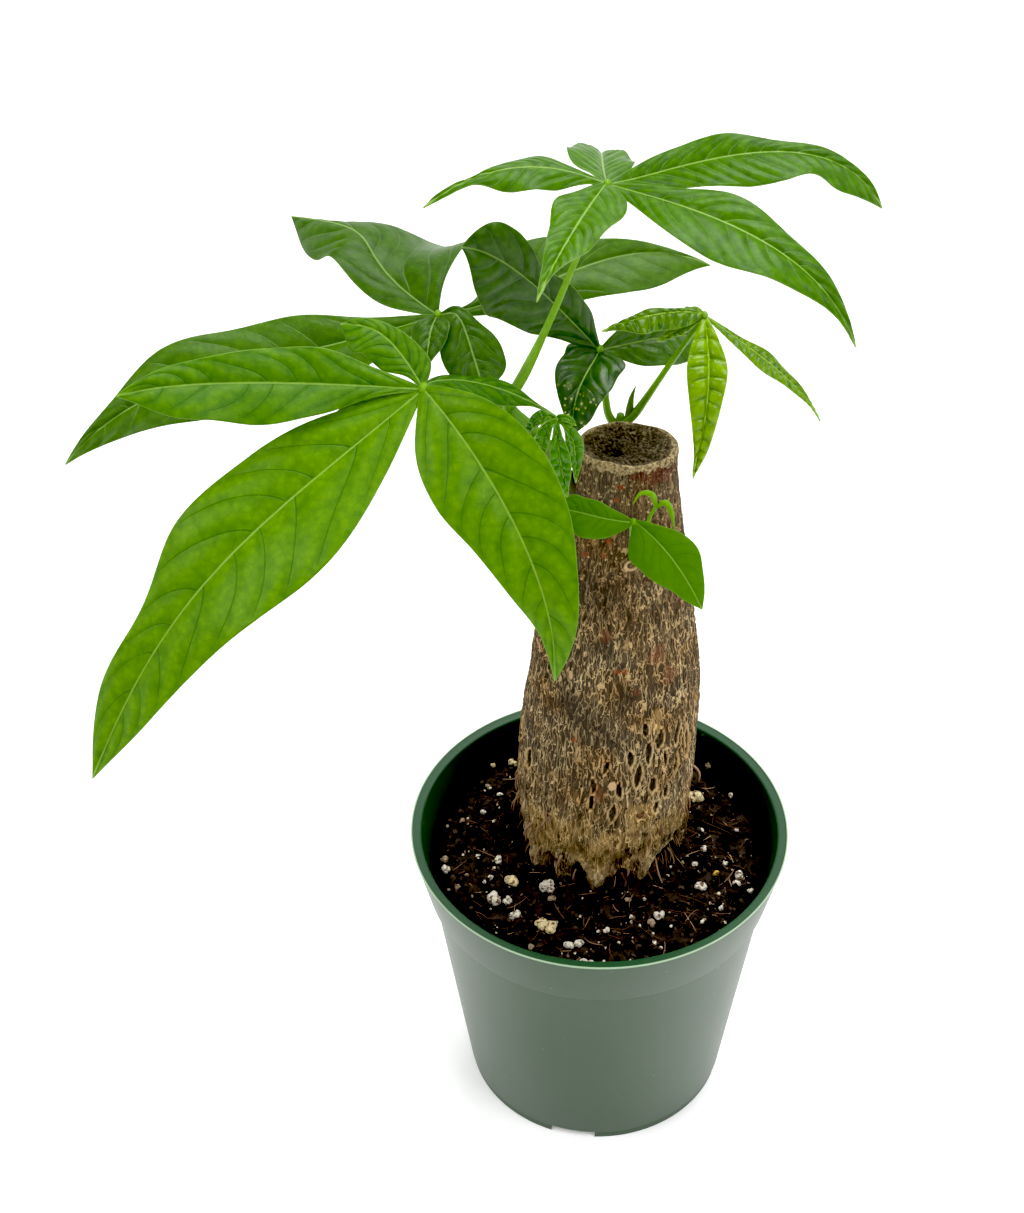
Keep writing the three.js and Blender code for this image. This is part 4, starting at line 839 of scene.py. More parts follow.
# The cork's tone follows that relief, and is lighter towards the cut and in torn clouds at the foot.
high = add(tree, "MapRange", {"Value": height, "From Min": 165 * MM, "From Max": 225 * MM,
                              "To Min": 0.0, "To Max": 0.02}).outputs[0]
torn = add(tree, "TexNoise", {"Vector": place, "Scale": 160.0, "Detail": 5.0}).outputs["Fac"]
torn = add(tree, "MapRange", {"Value": torn, "From Min": 0.44, "From Max": 0.56}).outputs[0]
low = add(tree, "MapRange", {"Value": height, "From Min": 95 * MM, "From Max": 130 * MM,
                             "To Min": 0.4, "To Max": 0.0}).outputs[0]
low = add(tree, "Math", {0: low, 1: torn}, operation="MULTIPLY").outputs[0]
level = add(tree, "MapRange", {"Value": raised, "From Min": 0.0, "From Max": 1.5}).outputs[0]
level = add(tree, "Math", {0: level, 1: high}, operation="ADD").outputs[0]
level = add(tree, "Math", {0: level, 1: low}, operation="ADD").outputs[0]
cork = add(tree, "ValToRGB", {0: level})
cork.color_ramp.elements[0].color = paint("#352E26")
cork.color_ramp.elements[1].color = paint("#E2CC9E")
for stop, colour in ((0.22, "#5B4F3D"), (0.45, "#927D5C"), (0.72, "#C8AE80")):
    cork.color_ramp.elements.new(stop).color = paint(colour)
cloud = add(tree, "TexNoise", {"Vector": place, "Scale": 75.0, "Detail": 3.0}).outputs["Fac"]
cloud = add(tree, "MapRange", {"Value": cloud, "From Min": 0.4, "From Max": 0.7}).outputs[0]
ruddy = add(tree, "Mix", {0: cloud, 6: paint("#FFFFFF"), 7: paint("#F2DEC6")}, data_type="RGBA").outputs[2]
coat = add(tree, "Mix", {0: 1.0, 6: cork.outputs[0], 7: ruddy}, data_type="RGBA",
           blend_type="MULTIPLY").outputs[2]
# The coats over the cork, with edges torn along the threads.
grit = add(tree, "TexNoise", {"Vector": place, "Scale": 620.0, "Detail": 6.0, "Roughness": 0.7})
grit = grit.outputs["Fac"]
grit = add(tree, "MapRange", {"Value": grit, "From Min": 0.4, "From Max": 0.62}).outputs[0]
pores = add(tree, "TexNoise", {"Vector": place, "Scale": 1300.0, "Detail": 4.0, "Roughness": 0.6})
pores = pores.outputs["Fac"]
pores = add(tree, "MapRange", {"Value": pores, "From Min": 0.4, "From Max": 0.6}).outputs[0]
tatter = add(tree, "TexNoise", {"Vector": tall, "Scale": 330.0, "Detail": 5.0}).outputs["Fac"]
tatter = add(tree, "Math", {0: tatter, 1: 0.5}, operation="SUBTRACT").outputs[0]
for mask, raggedness, amount, colour in COATS:
    share = add(tree, "Math", {0: tatter, 1: raggedness, 2: value[mask]}, operation="MULTIPLY_ADD").outputs[0]
    share = add(tree, "MapRange", {"Value": share, "From Min": 0.3, "From Max": 0.65,
                                   "To Max": amount}).outputs[0]
    coat = add(tree, "Mix", {0: share, 6: coat, 7: paint(colour)}, data_type="RGBA").outputs[2]
# The rotted wood of the cut, darkest in its hollow.
decay = add(tree, "Mix", {0: 0.65, 2: grit, 3: pores}).outputs[0]
rot = add(tree, "ValToRGB", {0: decay})
rot.color_ramp.elements[0].color = paint("#221C15")
rot.color_ramp.elements[1].color = paint("#9A8866")
rot.color_ramp.elements.new(0.5).color = paint("#4A402F")
sunk = add(tree, "MapRange", {"Value": value["hollow"], "From Min": 0.02, "From Max": 0.12}).outputs[0]
coat = add(tree, "Mix", {0: sunk, 6: coat, 7: rot.outputs[0]}, data_type="RGBA").outputs[2]
pit = add(tree, "MapRange", {"Value": value["hollow"], "From Min": 0.35, "From Max": 0.85,
                             "To Min": 1.0, "To Max": 0.25}).outputs[0]
coat = add(tree, "Mix", {0: 1.0, 6: coat, 7: pit}, data_type="RGBA", blend_type="MULTIPLY").outputs[2]
# The crusts are pitted: mask, pattern, the pattern's value at full light, and how dark its pits are.
CRUSTS = (("lip", pores, 1.0, 0.3), ("gold", raised, 0.9, 0.08), ("wine", pores, 1.0, 0.5))
for mask, pattern, most, darkest in CRUSTS:
    crust = add(tree, "MapRange", {"Value": pattern, "From Max": most, "To Min": darkest,
                                   "To Max": 1.2}).outputs[0]
    crusty = add(tree, "Mix", {0: value[mask], 6: (1, 1, 1, 1), 7: crust}, data_type="RGBA").outputs[2]
    coat = add(tree, "Mix", {0: 1.0, 6: coat, 7: crusty}, data_type="RGBA", blend_type="MULTIPLY").outputs[2]
tree.links.new(coat, shader.inputs["Base Color"])
rough = add(tree, "Math", {0: grit, 1: 0.4, 2: raised}, operation="MULTIPLY_ADD").outputs[0]
tree.links.new(add(tree, "Bump", {"Height": rough, "Strength": 0.8, "Distance": 0.0006}).outputs[0],
               shader.inputs["Normal"])
stump = make_piece("stump", stump_points, stump_faces, bark_finish, stump_values, sharp=0)
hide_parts("trunk")

# Dry rootlets and torn threads and flakes of bark hang from the foot of the stump.
TORN = (
    # how many, lowest and highest start, shortest and longest, thinnest and thickest, lean, darkest shade
    (110, 88, 100, 3, 9, 0.08, 0.22, 0.3, 0.1),
    (60, 92, 116, 3, 8, 0.2, 0.5, 0.08, 0.65),
    (16, 89, 95, 4, 9, 0.25, 0.5, 0.5, 0.35),
)
torn = []
for count, lowest, highest, shortest, longest, thinnest, thickest, lean_most, darkest in TORN:
    turn = chance.uniform(0, 2 * math.pi, count)
    rise = chance.uniform(lowest, highest, count)
    out = stump_at(rise, 2) - 0.2
    outward = np.stack([np.cos(turn), np.sin(turn)])
    start = np.stack([stump_at(rise, 1) + out * outward[0], TRUNK_Y + out * outward[1], rise], -1)
    lean = chance.uniform(0.0, lean_most, count) + 0.1
    way = np.stack([*(lean * outward + chance.uniform(-0.3, 0.3, (2, count))), -np.ones(count)], -1)
    bow = np.stack([*(chance.uniform(-0.2, 0.2, (2, count)) + 0.15 * outward), np.zeros(count)], -1)
    torn.append(strands(start, way, chance.uniform(shortest, longest, count),
                        chance.uniform(thinnest, thickest, count), bow, 7, 5,
                        shade=chance.uniform(darkest, 1, count)))
torn_points, torn_faces, torn_values = gather(torn)
make_piece("torn_bark", torn_points, torn_faces, fibre_finish, torn_values, sharp=0)

# ---- shoots ----------------------------------------------------------------------------------
# Two green shoots that broke from the bark just under the cut: the left one, already turning
# woody, carries four leaves, and the one behind the cut carries two and ends in a pointed bud.


# What the leaves' finish reads on a stalk: no vein, edge or freckle is near, and the skin is a stem's.
STALK_VALUES = {"across": 0.0, "edge": 9.0, "phase": 0.5, "pitch": 9.0, "under": 0.0, "freckle": 0.0,
                "stem": 1.0}


def steps_along(values, along):
    """Evenly spaced values at fractions of the way along them, on cubics that pass through each one
    with half the step between its two neighbours as their slope."""
    values = np.asarray(values, float)
    last = len(values) - 1
    place = np.clip(along, 0, 1) * last
    index = np.minimum(place.astype(int), last - 1)
    t = (place - index).reshape(place.shape + (1,) * (values.ndim - 1))
    padded = np.concatenate([[2 * values[0] - values[1]], values, [2 * values[-1] - values[-2]]])
    before, low, high, after = (padded[index + k] for k in range(4))
    return low + ((high - before) * t + (2 * before - 5 * low + 4 * high - after) * t ** 2
                  + (3 * low - before - 3 * high + after) * t ** 3) / 2


def lengths_along(line):
    """The way along a line from its start to each of its points."""
    return np.concatenate([[0], np.cumsum(np.linalg.norm(np.diff(line, axis=0), axis=1))])


def at_lengths(line, lengths):
    """The points of a line at those lengths from its start."""
    return np.stack([np.interp(lengths, lengths_along(line), line[:, k]) for k in range(3)], -1)


def stalk(route, radii, tone=0.9, rings=40, sides=18, lumpy=0.0, stem=1.0):
    """A round stalk on a smooth line through the route's points. Rings at even lengths, with the
    radius following the given values, stand square to the line and close at both ends in a pole."""
    dense = steps_along(route, np.linspace(0, 1, 400))
    along = np.linspace(0, 1, rings)
    line = at_lengths(dense, along * lengths_along(dense)[-1])
    run = unit(np.gradient(line, axis=0))
    least = np.eye(3)[np.argmin(np.abs(run).max(axis=0))]
    side = unit(np.cross(run, least))
    lift = np.cross(side, run)
    turn = np.arange(sides) * 2 * math.pi / sides
    radius = steps_along(radii, along)[:, None]
    radius = radius * (1 + lumpy * drift(turn / (2 * math.pi) * 4, along[:, None] * rings / 2.5, 91, wrap=4))
    around = side[:, None] * np.cos(turn)[:, None] + lift[:, None] * np.sin(turn)[:, None]
    points = line[:, None] + around * radius[..., None]
    points = np.vstack([points.reshape(-1, 3), line[[0, -1]]])
    values = {k: np.full(len(points), v) for k, v in {**STALK_VALUES, "stem": stem, "tone": tone}.items()}
    values["along"] = np.concatenate([np.repeat(along, sides), [0, 1]])
    return {"points": points, "faces": tube_faces(rings, sides, turned=True), "values": values}


LEFT_SHOOT = ((-6, 10, 214), (-12, 10, 224), (-17, 10, 234), (-22, 10, 241), (-26, 10, 246))
LEFT_SHOOT_RADII = (4, 3.6, 3.1, 2.7, 2.2)
BACK_SHOOT = ((6, 22, 210), (6, 27, 219), (5, 28.5, 226), (5, 28.5, 231))
BACK_SHOOT_RADII = (3.2, 2.8, 2.4, 1.0)
END_BUD = ((7, 28.5, 228), (7.5, 28.5, 233), (8, 28.5, 237), (9, 28.5, 240.5))
END_BUD_RADII = (0.9, 1.1, 0.7, 0.1)

# Young bark: green skin with brown cork flecks that thicken towards the stump.
shoot_finish, tree, shader = new_finish("young_bark", Roughness=0.6, IOR=1.45)
place = add(tree, "TexCoord").outputs["Object"]
along = add(tree, "Attribute", attribute_name="along").outputs["Fac"]
cork = add(tree, "TexNoise", {"Vector": place, "Scale": 420.0, "Detail": 4.0}).outputs["Fac"]
cork = add(tree, "Math", {0: cork, 1: along}, operation="SUBTRACT").outputs[0]
cork = add(tree, "MapRange", {"Value": cork, "From Min": -0.25, "From Max": 0.35}).outputs[0]
skin = add(tree, "Mix", {0: cork, 6: paint("#5F8A26"), 7: paint("#5A4A33")}, data_type="RGBA").outputs[2]
tree.links.new(skin, shader.inputs["Base Color"])
tree.links.new(add(tree, "Bump", {"Height": cork, "Strength": 0.5, "Distance": 0.0004}).outputs[0],
               shader.inputs["Normal"])
left = stalk(LEFT_SHOOT, LEFT_SHOOT_RADII, lumpy=0.08)
left_shoot = make_piece("left_shoot_stem", left["points"], left["faces"], shoot_finish,
                        left["values"], sharp=0)
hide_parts("left_shoot")
end_bud = stalk(END_BUD, END_BUD_RADII, lumpy=0.04)
end_bud["values"]["along"] = 0.45 + end_bud["values"]["along"] / 2
back_points, back_faces, back_values = gather([stalk(BACK_SHOOT, BACK_SHOOT_RADII, lumpy=0.06), end_bud])
back_shoot = make_piece("back_shoot_stem", back_points, back_faces, shoot_finish, back_values,
                        sharp=0)
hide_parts("back_shoot")

# ---- leaves ----------------------------------------------------------------------------------
# Each leaf is a fan of leaflets on one long petiole, with a knuckle where they meet. A leaflet is
# a thin waxy blade: a raised pale midrib, sunken side veins, and cushions of flesh between them.
BLADE_THICKNESS = 0.45
BASE_HALF = 0.5
TIP_HALF = 0.15
VEIN_SHIFT = 0.42                  # how far the right side's veins lag the left side's, in spacings
VEIN_WIDTH = 0.28


def leaflet(hub, bend, tip, face, left, right, fold=(8, 8), fold_tip=None, waves=3, wave_height=0.8,
            bulge=0.05, veins=9, slope=0.75, curl=0.45, crown=2.0, puff=0.35, groove=0.15, crimp=0.05,
            tone=0.5, freckle=0.0, rib=0.42, grid=0.75):
    """One leaflet. Its midrib is a cubic curve from the hub to the tip, which leaves towards the first
    bend and arrives from the second, with points at even lengths. At each length the blade spreads
    to both sides of the rib, square to it and to the face: a point is
    rib + side * across * cos(fold) + normal * (across * sin(fold) + bulge + ripple + cushions).
    bend and tip are measured from the hub; left and right are the blade's half widths at even
    lengths; fold is how far each half lifts, in degrees."""
    t = np.linspace(0, 1, 400)[:, None]
    knots = np.array(hub, float) + np.array([(0, 0, 0), *bend, tip], float)
    curve = ((1 - t) ** 3 * knots[0] + 3 * (1 - t) ** 2 * t * knots[1]
             + 3 * (1 - t) * t ** 2 * knots[2] + t ** 3 * knots[3])
    length = lengths_along(curve)[-1]
    rows = int(length / grid) + 8
    columns = 2 * int(max(*left, *right) / grid + 4) + 1
    along = np.linspace(0, 1, rows)
    centre = at_lengths(curve, along * length)
    run = unit(np.gradient(centre, axis=0))
    side = unit(np.cross(run, unit(np.array(face, float))))
    normal = np.cross(side, run)
    across = np.linspace(-1, 1, columns)
    across = np.sign(across) * np.abs(across) ** 0.92
    right_hand = across > 0
    half_left, half_right = (
        np.maximum(steps_along([BASE_HALF, *widths, TIP_HALF], along), TIP_HALF) for widths in (left, right))
    half = np.where(right_hand, half_right[:, None], half_left[:, None])
    lift_start = np.radians(np.where(right_hand, fold[1], fold[0]))
    lift_end = np.radians(np.where(right_hand, *(fold_tip or fold)[::-1]))
    lift = lift_start + (lift_end - lift_start) * along[:, None]
    out = np.abs(across)
    reach = out * half
    pitch = length / (veins + 1.5)
    lead = reach * slope + curl * pitch * out ** 2
    jitter = 0.3 * np.sin(along[:, None] * 17 + hub[0] + tip[0] + 2.2 * right_hand) * (1 - 0.5 * out)
    phase = (along[:, None] * length - lead) / pitch + jitter
    shifted = phase + VEIN_SHIFT * right_hand
    from_vein = np.abs(shifted - np.round(shifted)) * pitch
    blade = ease(along, 0.02, 0.12)[:, None] * ease(1 - along, 0.0, 0.08)[:, None]
    cushion = np.abs(np.sin(math.pi * shifted)) ** crown * ease(out, 0.02, 0.25)
    cushion = cushion * (1 - 0.75 * ease(out, 0.6, 1.0))
    sunk = np.exp(-(from_vein / 0.55) ** 2) * ease(out, 0.0, 0.1) * (1 - ease(out, 0.75, 1.0))
    ripple = wave_height * out ** 2 * np.sin(math.pi * along[:, None]) * np.sin(
        2 * math.pi * waves * along[:, None] + np.where(right_hand, 2, 0))
    crimped = crimp * out ** 3 * np.cos(2 * math.pi * shifted + 0.6)
    rib_dip = 0.25 * np.exp(-(reach / 0.8) ** 2)
    raised = (reach * np.sin(lift) + 4 * bulge * half * out * (1 - out) + ripple
              + blade * (puff * cushion - groove * sunk + crimped - rib_dip))
    middle = centre[:, None] + side[:, None] * (across * half * np.cos(lift))[..., None]
    middle = middle + normal[:, None] * raised[..., None]
    slant = unit(np.cross(np.gradient(middle, axis=1), np.gradient(middle, axis=0)))
    slant = slant * np.sign((slant * normal[:, None]).sum(-1, keepdims=True))
    thick = BLADE_THICKNESS * (1 - 0.6 * out ** 4) / 2
    upper, lower = (middle + sign * slant * thick[None, :, None] for sign in (1, -1))
    sheet = grid_faces(rows, columns)
    count = rows * columns
    border = np.concatenate([np.arange(columns), np.arange(2, rows + 1) * columns - 1,
                             np.arange(count - 2, count - columns - 1, -1),
                             np.arange(rows - 2, 0, -1) * columns])
    onward = np.roll(border, -1)
    rim = np.stack([border, border + count, onward + count, onward], -1)
    flat = {
        "across": across * half, "edge": half * (1 - out), "phase": phase, "pitch": pitch + 0 * phase,
        "tone": tone + 0 * phase, "freckle": freckle * ease(along, 0.45, 0.85)[:, None] + 0 * phase,
        "along": along[:, None] + 0 * phase, "stem": 0 * phase,
    }
    values = {k: np.concatenate([v.ravel(), v.ravel()]) for k, v in flat.items()}
    values["under"] = np.repeat([0.0, 1.0], count)
    blade_shell = {"points": np.vstack([upper.reshape(-1, 3), lower.reshape(-1, 3)]),
                   "faces": [sheet, sheet[:, ::-1] + count, rim], "values": values}
    rib_line = (centre - normal * 0.2)[::3]
    rib_shell = stalk(rib_line, rib * np.array([1, 0.85, 0.7, 0.5, 0.35, 0.25]), tone, rows // 3, 8, stem=0.0)
    return [blade_shell, rib_shell]


def compound_leaf(name, node, finish, hub, knuckle, petiole, radii, leaflets, slot="leaf", extra=(),
                  **shared):
    """Leaflets on one hub, the knuckle and the petiole, as one piece that replaces its CAD node."""
    shells = [shell for spec in leaflets for shell in leaflet(hub, **{**shared, **spec})]
    shells.append(stalk([*petiole, hub], radii, rings=50, lumpy=0.03))
    shells.append(lumps([hub], [knuckle], 12, 16, 0.06, 5, **STALK_VALUES, tone=0.8, along=0.0))
    points, faces, values = gather([*shells, *extra])
    piece = make_piece(name, points, faces, finish, values, sharp=0)
    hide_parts(node)


def leaf_finish(name, deep, fresh, rib, vein_colour_and_shade, under, gloss, mottle=1.0, net=0.2, veining=1.0, rib_width=0.4,
                specular=0.38):
    """Leaf flesh under a clear wax skin. The green runs from deep to fresh with the tone, with
    clouds 3 mm wide and with cells of 2 mm. The midrib, the side veins and the thin edge are
    painted by their distance in mm."""
    finish, tree, shader = new_finish(name, Roughness=gloss, IOR=1.45, Specular_IOR_Level=specular)
    place = add(tree, "TexCoord").outputs["Object"]
    value = {k: add(tree, "Attribute", attribute_name=k).outputs["Fac"]
             for k in ("across", "edge", "phase", "pitch", "under", "tone", "freckle", "stem")}
    # Side veins: thin lines where the phase is whole, fading out before the edge.
    lag = add(tree, "Math", {0: value["across"], 1: 0.0}, operation="GREATER_THAN").outputs[0]
    lag = add(tree, "Math", {0: lag, 1: VEIN_SHIFT, 2: value["phase"]}, operation="MULTIPLY_ADD").outputs[0]
    away = add(tree, "Math", {0: lag, 1: 0.5}, operation="PINGPONG").outputs[0]
    away = add(tree, "Math", {0: away, 1: value["pitch"]}, operation="MULTIPLY").outputs[0]
    line = add(tree, "MapRange", {"Value": away, "From Min": VEIN_WIDTH * 0.3, "From Max": VEIN_WIDTH * 1.6,
                                  "To Min": 1.0, "To Max": 0.0}, interpolation_type="SMOOTHSTEP").outputs[0]
    fade = add(tree, "MapRange", {"Value": value["edge"], "From Min": 0.5, "From Max": 3.5}).outputs[0]
    line = add(tree, "Math", {0: line, 1: fade}, operation="MULTIPLY").outputs[0]
    # Flesh: clouds and cells shift the tone, and each cushion between the veins is painted lighter
    # in its middle and darker towards the veins: painted light and shade on its relief.
    clouds = add(tree, "TexNoise", {"Vector": place, "Scale": 330.0, "Detail": 4.0}).outputs["Fac"]
    clouds = add(tree, "MapRange", {"Value": clouds, "From Min": 0.3, "From Max": 0.7,
                                    "To Min": -0.15 * mottle, "To Max": 0.15 * mottle}).outputs[0]
    cells = add(tree, "TexVoronoi", {"Vector": place, "Scale": 520.0}, feature="SMOOTH_F1").outputs[0]
    cells = add(tree, "MapRange", {"Value": cells, "From Min": 0.1, "From Max": 0.7,
                                   "To Min": 0.2 * mottle, "To Max": -0.2 * mottle}).outputs[0]
    between = add(tree, "Math", {0: lag, 1: 0.5}, operation="PINGPONG").outputs[0]
    between = add(tree, "MapRange", {"Value": between, "From Min": 0.08, "From Max": 0.42,
                                     "To Min": -0.08 * veining, "To Max": 0.08 * veining},
                  interpolation_type="SMOOTHSTEP").outputs[0]
    shade = add(tree, "Math", {0: value["tone"], 1: clouds}, operation="ADD").outputs[0]
    shade = add(tree, "Math", {0: shade, 1: between}, operation="ADD").outputs[0]
    shade = add(tree, "Math", {0: shade, 1: cells}, operation="ADD", use_clamp=True).outputs[0]
    flesh = add(tree, "Mix", {0: shade, 6: paint(deep), 7: paint(fresh)}, data_type="RGBA").outputs[2]
    # Where a finish's vein colour is darker than its flesh, as on the grown leaf, the lines are painted shade
    # in the sunken veins.
    strong = add(tree, "Math", {0: line, 1: 0.65 * veining}, operation="MULTIPLY").outputs[0]
    veined = add(tree, "Mix", {0: strong, 6: flesh, 7: paint(vein_colour_and_shade)}, data_type="RGBA").outputs[2]
    mesh = add(tree, "TexVoronoi", {"Vector": place, "Scale": 380.0}, feature="DISTANCE_TO_EDGE").outputs[0]
    mesh = add(tree, "MapRange", {"Value": mesh, "From Min": 0.0, "From Max": 0.12,
                                  "To Min": net, "To Max": 0.0}).outputs[0]
    netted = add(tree, "Mix", {0: mesh, 6: veined, 7: paint(deep)}, data_type="RGBA").outputs[2]
    # The midrib and the edge, and the duller underside.
    beside = add(tree, "Math", {0: value["across"]}, operation="ABSOLUTE").outputs[0]
    on_rib = add(tree, "MapRange", {"Value": beside, "From Min": 0.3 * rib_width, "From Max": rib_width,
                                    "To Min": 0.65, "To Max": 0.0}).outputs[0]
    ribbed = add(tree, "Mix", {0: on_rib, 6: netted, 7: paint(rib)}, data_type="RGBA").outputs[2]
    on_edge = add(tree, "MapRange", {"Value": value["edge"], "From Min": 0.1, "From Max": 0.3,
                                     "To Min": 0.3, "To Max": 0.0}).outputs[0]
    edged = add(tree, "Mix", {0: on_edge, 6: ribbed, 7: paint(rib)}, data_type="RGBA").outputs[2]
    below = add(tree, "MapRange", {"Value": value["under"], "From Min": 0.4, "From Max": 0.6}).outputs[0]
    below = add(tree, "Math", {0: below, 1: 0.85}, operation="MULTIPLY").outputs[0]
    turned = add(tree, "Mix", {0: below, 6: edged, 7: paint(under)}, data_type="RGBA").outputs[2]
    # Pale freckles in patches, where the blade has them, and the stalks' streaked green skin.
    dots = add(tree, "TexVoronoi", {"Vector": place, "Scale": 640.0}).outputs["Distance"]
    dots = add(tree, "MapRange", {"Value": dots, "From Min": 0.18, "From Max": 0.3,
                                  "To Min": 1.0, "To Max": 0.0}).outputs[0]
    patch = add(tree, "TexNoise", {"Vector": place, "Scale": 260.0, "Detail": 2.0}).outputs["Fac"]
    patch = add(tree, "MapRange", {"Value": patch, "From Min": 0.36, "From Max": 0.5}).outputs[0]
    dots = add(tree, "Math", {0: dots, 1: patch}, operation="MULTIPLY").outputs[0]
    dots = add(tree, "Math", {0: dots, 1: value["freckle"]}, operation="MULTIPLY").outputs[0]
    freckled = add(tree, "Mix", {0: dots, 6: turned, 7: paint("#D8D86A")}, data_type="RGBA").outputs[2]
    streaks = add(tree, "TexNoise", {"Vector": place, "Scale": 520.0, "Detail": 3.0}).outputs["Fac"]
    streaks = add(tree, "MapRange", {"Value": streaks, "To Min": 0.75, "To Max": 1.25}).outputs[0]
    stalks = add(tree, "Mix", {0: 1.0, 6: paint("#6A961E"), 7: streaks}, data_type="RGBA",
                 blend_type="MULTIPLY").outputs[2]
    whole = add(tree, "Mix", {0: value["stem"], 6: freckled, 7: stalks}, data_type="RGBA").outputs[2]
    tree.links.new(whole, shader.inputs["Base Color"])
    pores = add(tree, "TexNoise", {"Vector": place, "Scale": 1100.0, "Detail": 3.0}).outputs["Fac"]
    furrow = add(tree, "Math", {0: line, 1: -1.6, 2: pores}, operation="MULTIPLY_ADD").outputs[0]
    tree.links.new(add(tree, "Bump", {"Height": furrow, "Strength": 0.35, "Distance": 0.0003}).outputs[0],
                   shader.inputs["Normal"])
    return finish


# Leaf A, low on the left: fully grown, satin and nearly flat, with the two largest leaflets.
grown = leaf_finish("grown_leaf", "#2C5A02", "#689204", "#86AA4A", "#2C5A08", "#7F9E5E", 0.46, mottle=0.65,
                    specular=0.25)
compound_leaf(
    "leaf_a_blades", "leaf_a", grown, (-47, -20, 274), 1.7,
    ((-23.6, 10, 243), (-27, 6, 246), (-34, -4, 257), (-42, -15, 268)), (1.3, 1.5, 1.1, 1.0, 1.5), [
        dict(bend=((-44, -32, -21), (-63, -40, -30)), tip=(-86, -52, -83), face=(-0.13, -0.61, 0.78),
             left=(12, 20, 18, 13, 8), right=(11, 16, 16, 9, 8), fold=(10, 0), waves=4, veins=9),
        dict(bend=((-1, -3, 4), (34, -40, -17)), tip=(32, -38, -64), face=(-0.05, -0.73, 0.68),
             left=(11, 15, 14, 10, 6), right=(12, 15, 12, 8, 3), fold=(10, 7), veins=8),
        dict(bend=((-42, 0, 4), (-63, -7, 8)), tip=(-75, -10, 6), face=(0, -0.61, 0.79),
             left=(3, 8, 11, 10, 8), right=(5, 9, 9, 7, 5), fold=(4, 6), veins=7, slope=0.35, tone=0.3),
        dict(bend=((-8, 13, 8), (-12, 12, 12)), tip=(-21, 16, 9), face=(-0.1, -0.5, 0.86),
             left=(2, 6, 7, 7, 7), right=(5, 5, 4, 3, 2), fold=(0, 0), waves=2, veins=7, tone=0.3,
             wave_height=0.4),
        dict(bend=((1, 3, 3), (17, 19, -9)), tip=(33, 2, -10), face=(0, -0.12, 0.99),
             left=(2, 4, 4, 3, 1), right=(3, 7, 7, 4, 1), fold=(-14, -8), waves=2, veins=7, tone=0.12),
        dict(bend=((-13, 8, -10), (-14, 6, -9)), tip=(-24, 6, -12), face=(0, -0.41, 0.91),
             left=(2, 3, 4, 4, 2), right=(2, 3, 4, 3, 2), waves=1, veins=6, tone=0.35),
    ], tone=0.5, puff=0.2, slope=0.45, curl=1.2, rib=0.34)

# Leaf B, behind it: duller in the shade, with one broad leaflet that folds over beyond its rib.
shaded = leaf_finish("shaded_leaf", "#244606", "#466C0C", "#86A65A", "#557A2A", "#8FAA70", 0.4, net=0.15,
                     veining=0.8, specular=0.27)
compound_leaf(
    "leaf_b_blades", "leaf_b", shaded, (-44, 15, 273), 1.4,
    ((-22.8, 10.3, 242), (-27.8, 14, 244.8), (-33, 13.4, 253.4), (-40, 14, 265)), (1.2, 1.4, 1.0, 0.9, 1.2), [
        dict(bend=((-47, -2, -16), (-76, -12, -6)), tip=(-97, -27, -27), face=(-0.03, -0.53, 0.85),
             left=(8, 13, 14, 12, 7), right=(5, 10, 11, 11, 4), fold=(10, 3), veins=8, tone=0.75),
        dict(bend=((-29, 32, 1), (-8, 19, 15)), tip=(-41, 47, 2), face=(0.27, -0.7, 0.66),
             left=(6, 9, 11, 13, 9), right=(9, 18, 26, 28, 25, 15, 7, 3, 1), fold=(6, 20), fold_tip=(6, -80),
             veins=6, slope=1.0, tone=0.5, puff=0.2),
        dict(bend=((6, -5, 4), (5, 0, 5)), tip=(12, -20, -11), face=(0.15, -0.61, 0.78),
             left=(2, 4, 7, 8, 7), right=(4, 6, 8, 8, 6), fold=(-4, -4), waves=2, veins=5, tone=0.45,
             wave_height=0.4),
        dict(bend=((-2, -7, 1), (-2, -9, 0)), tip=(-3, -17, -5), face=(-0.2, -0.6, 0.8),
             left=(3, 5, 5, 4, 2), right=(3, 5, 5, 4, 2), waves=1, veins=5, tone=0.4),
        dict(bend=((30, 31, -15), (48, 37, 5)), tip=(74, 37, -9), face=(0.03, -0.48, 0.88),
             left=(2, 11, 12, 6, 2), right=(3, 7, 9, 12, 10), fold=(10, 4), veins=7, slope=1.0, tone=0.75,
             puff=0.12),
    ])

